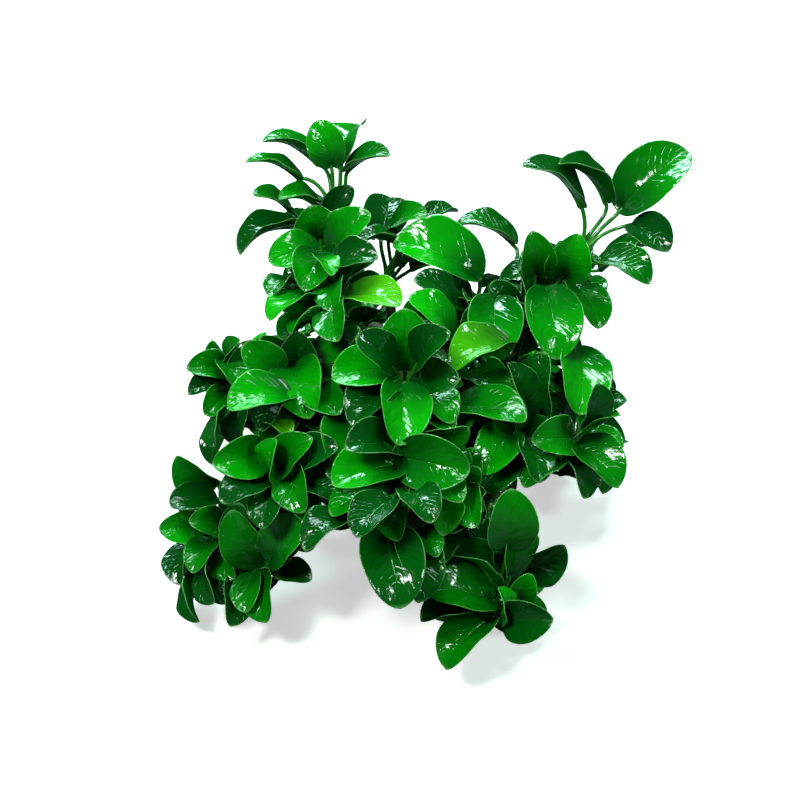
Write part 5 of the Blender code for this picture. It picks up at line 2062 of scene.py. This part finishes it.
def root_lines(line, seed):
    """Roots in turn on both sides of a rhizome."""
    fine = smooth_route(line, max(4, round(length_of(line) / ROOT_EVERY)) * 2 + 1)
    roots = []
    for number, index in enumerate(range(1, len(fine) - 1, 2)):
        along = (fine[index + 1] - fine[index - 1]).normalized()
        skin, normal = press_on(stone_tree, fine[index], 0)
        if (skin - fine[index]).length > FARTHEST_FROM_STONE * RHIZOME_RADIUS:
            continue
        side = 1 if number % 2 else -1
        sideways = along.cross(normal).normalized() * side
        strides = round(ROOT_STRIDES * lucky(ROOT_LENGTHS, chance(seed, number)))
        start = fine[index] + sideways * RHIZOME_RADIUS * ROOT_START
        heading = sideways * ROOT_OUTWARD + along * ROOT_SLANT * (chance(number, seed, 2) - 0.5)
        path = creep(start, heading, number * ROOT_PHASE + seed, strides)
        if len(path) < SHORTEST_ROOT:
            continue
        last = len(path) - 1
        roots.append([(point, ROOT_RADIUS * (1 - ROOT_TAPER * place / last),
                       1 - place / last * ROOT_YOUTH, 0.0) for place, point in enumerate(path)])
    return roots


def rhizome_radius(share):
    ends = min(1.0, min(share, 1 - share) / RHIZOME_ENDS[1] + RHIZOME_ENDS[0])
    return RHIZOME_RADIUS * ends * lucky(RHIZOME_KNOTS, sin(share * RHIZOME_KNOT_TURNS))


def make_rhizome(order, name):
    rings = ringed_line(rhizome_lines[name], rhizome_radius, lambda share: lucky(RHIZOME_AGES, share))
    body = sweep("body", [rings], RHIZOME_TUBE_SIDES, stem_material)
    roots = sweep("roots", root_lines(rhizome_lines[name], order), ROOT_SIDES, root_material)
    piece = join_meshes(name.replace("rhizome", "creeping_rhizome"), [body, roots])
    faces_out(piece)
    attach(piece, "root")
    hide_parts(name)
    return piece


rhizomes = [make_rhizome(order, name) for order, name in enumerate(RHIZOMES)]
print("rhizomes:", ", ".join(piece.name for piece in rhizomes))

# %% [markdown]
# ## The stone
#
# The stone keeps the rule that shaped its plain solid, a long blunt form with broad lumps and flat
# breaks, and gets a finer grain from more faces and two smaller sizes of noise. It is cut flat where
# it stands, and the cut is filled, so that its skin is closed.

# %% The stone's fine skin
STONE_HALF = Vector((52 * MM, 39 * MM, 31 * MM))
STONE_TURN = Matrix.Rotation(radians(-60), 3, "Z")
STONE_LUMPS = ((1.6, 0.14, Vector((3.1, 0.4, 7.7))), (4.1, 0.05, Vector((1.9, 5.2, 2.3))))
BREAK_SHARPNESS = 0.85
# Flat breaks: the way each one faces, and how far out it lies as a share of the whole form.
STONE_BREAKS = [
    ((-0.85, -0.50, 0.25), 0.90),
    ((0.75, -0.35, 0.55), 0.93),
    ((0.05, 0.40, 0.90), 0.92),
    ((-0.50, 0.80, 0.35), 0.90),
    ((0.80, 0.55, 0.15), 0.92),
    ((0.45, -0.85, 0.30), 0.93),
    ((-0.35, -0.30, 0.90), 0.95),
]
STONE_SKIN_NOISE = ((18.0, 0.9 * MM), (55.0, 0.25 * MM))
SKIN_SINKS = 0.4
STONE_SWELL = 1.02
STONE_DETAIL = 6
SHARP_EDGE = radians(50)


def scaled(direction):
    """A unit direction stretched to the stone's half sizes."""
    return Vector([part * half for part, half in zip(direction, STONE_HALF)])


def stone_point(direction):
    """A point of the stone's skin: a long blunt form with broad lumps and a few flat breaks."""
    point = STONE_TURN @ scaled(direction)
    swell = STONE_SWELL
    for fineness, height, offset in STONE_LUMPS:
        swell += noise.noise(direction * fineness + offset) * height
    point *= swell
    for facing, share in STONE_BREAKS:
        normal = Vector(facing).normalized()
        reach = share * scaled(STONE_TURN.transposed() @ normal).length
        excess = point.dot(normal) - reach
        if excess > 0:
            point -= normal * excess * BREAK_SHARPNESS
    return STONE_CENTRE + point


def fine_stone_point(direction):
    point = stone_point(direction)
    outward = (point - STONE_CENTRE).normalized()
    for fineness, height in STONE_SKIN_NOISE:
        point += outward * (noise.noise(direction * fineness) * height - height * SKIN_SINKS)
    return point


def make_fine_stone():
    shape = bmesh.new()
    bmesh.ops.create_icosphere(shape, subdivisions=STONE_DETAIL, radius=1)
    for vertex in shape.verts:
        vertex.co = fine_stone_point(vertex.co.normalized())
    everything = shape.verts[:] + shape.edges[:] + shape.faces[:]
    cut = bmesh.ops.bisect_plane(shape, geom=everything, plane_co=(0, 0, 0), plane_no=(0, 0, 1),
                                 clear_inner=True)
    rim = [item for item in cut["geom_cut"] if isinstance(item, bmesh.types.BMEdge)]
    bmesh.ops.contextual_create(shape, geom=rim)
    bmesh.ops.recalc_face_normals(shape, faces=shape.faces)
    mesh = bpy.data.meshes.new("river_stone")
    shape.to_mesh(mesh)
    shape.free()
    mesh.shade_smooth()
    mesh.set_sharp_from_angle(angle=SHARP_EDGE)
    mesh.materials.append(stone_material)
    stone = bpy.data.objects.new("river_stone", mesh)
    bpy.context.scene.collection.objects.link(stone)
    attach(stone, "root")
    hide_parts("stone")
    return stone


river_stone = make_fine_stone()
print("the stone has", len(river_stone.data.polygons), "faces")

# %% [markdown]
# ## Finish
#
# The blades are made to stay inside the imported plant's box, and both boxes are printed.

# %% Measure and finish
visual_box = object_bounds()
for label, box in (("packed", cad_box), ("dressed", visual_box)):
    print(label, [round((high - low) / MM, 1) for low, high in zip(*box)], "mm")
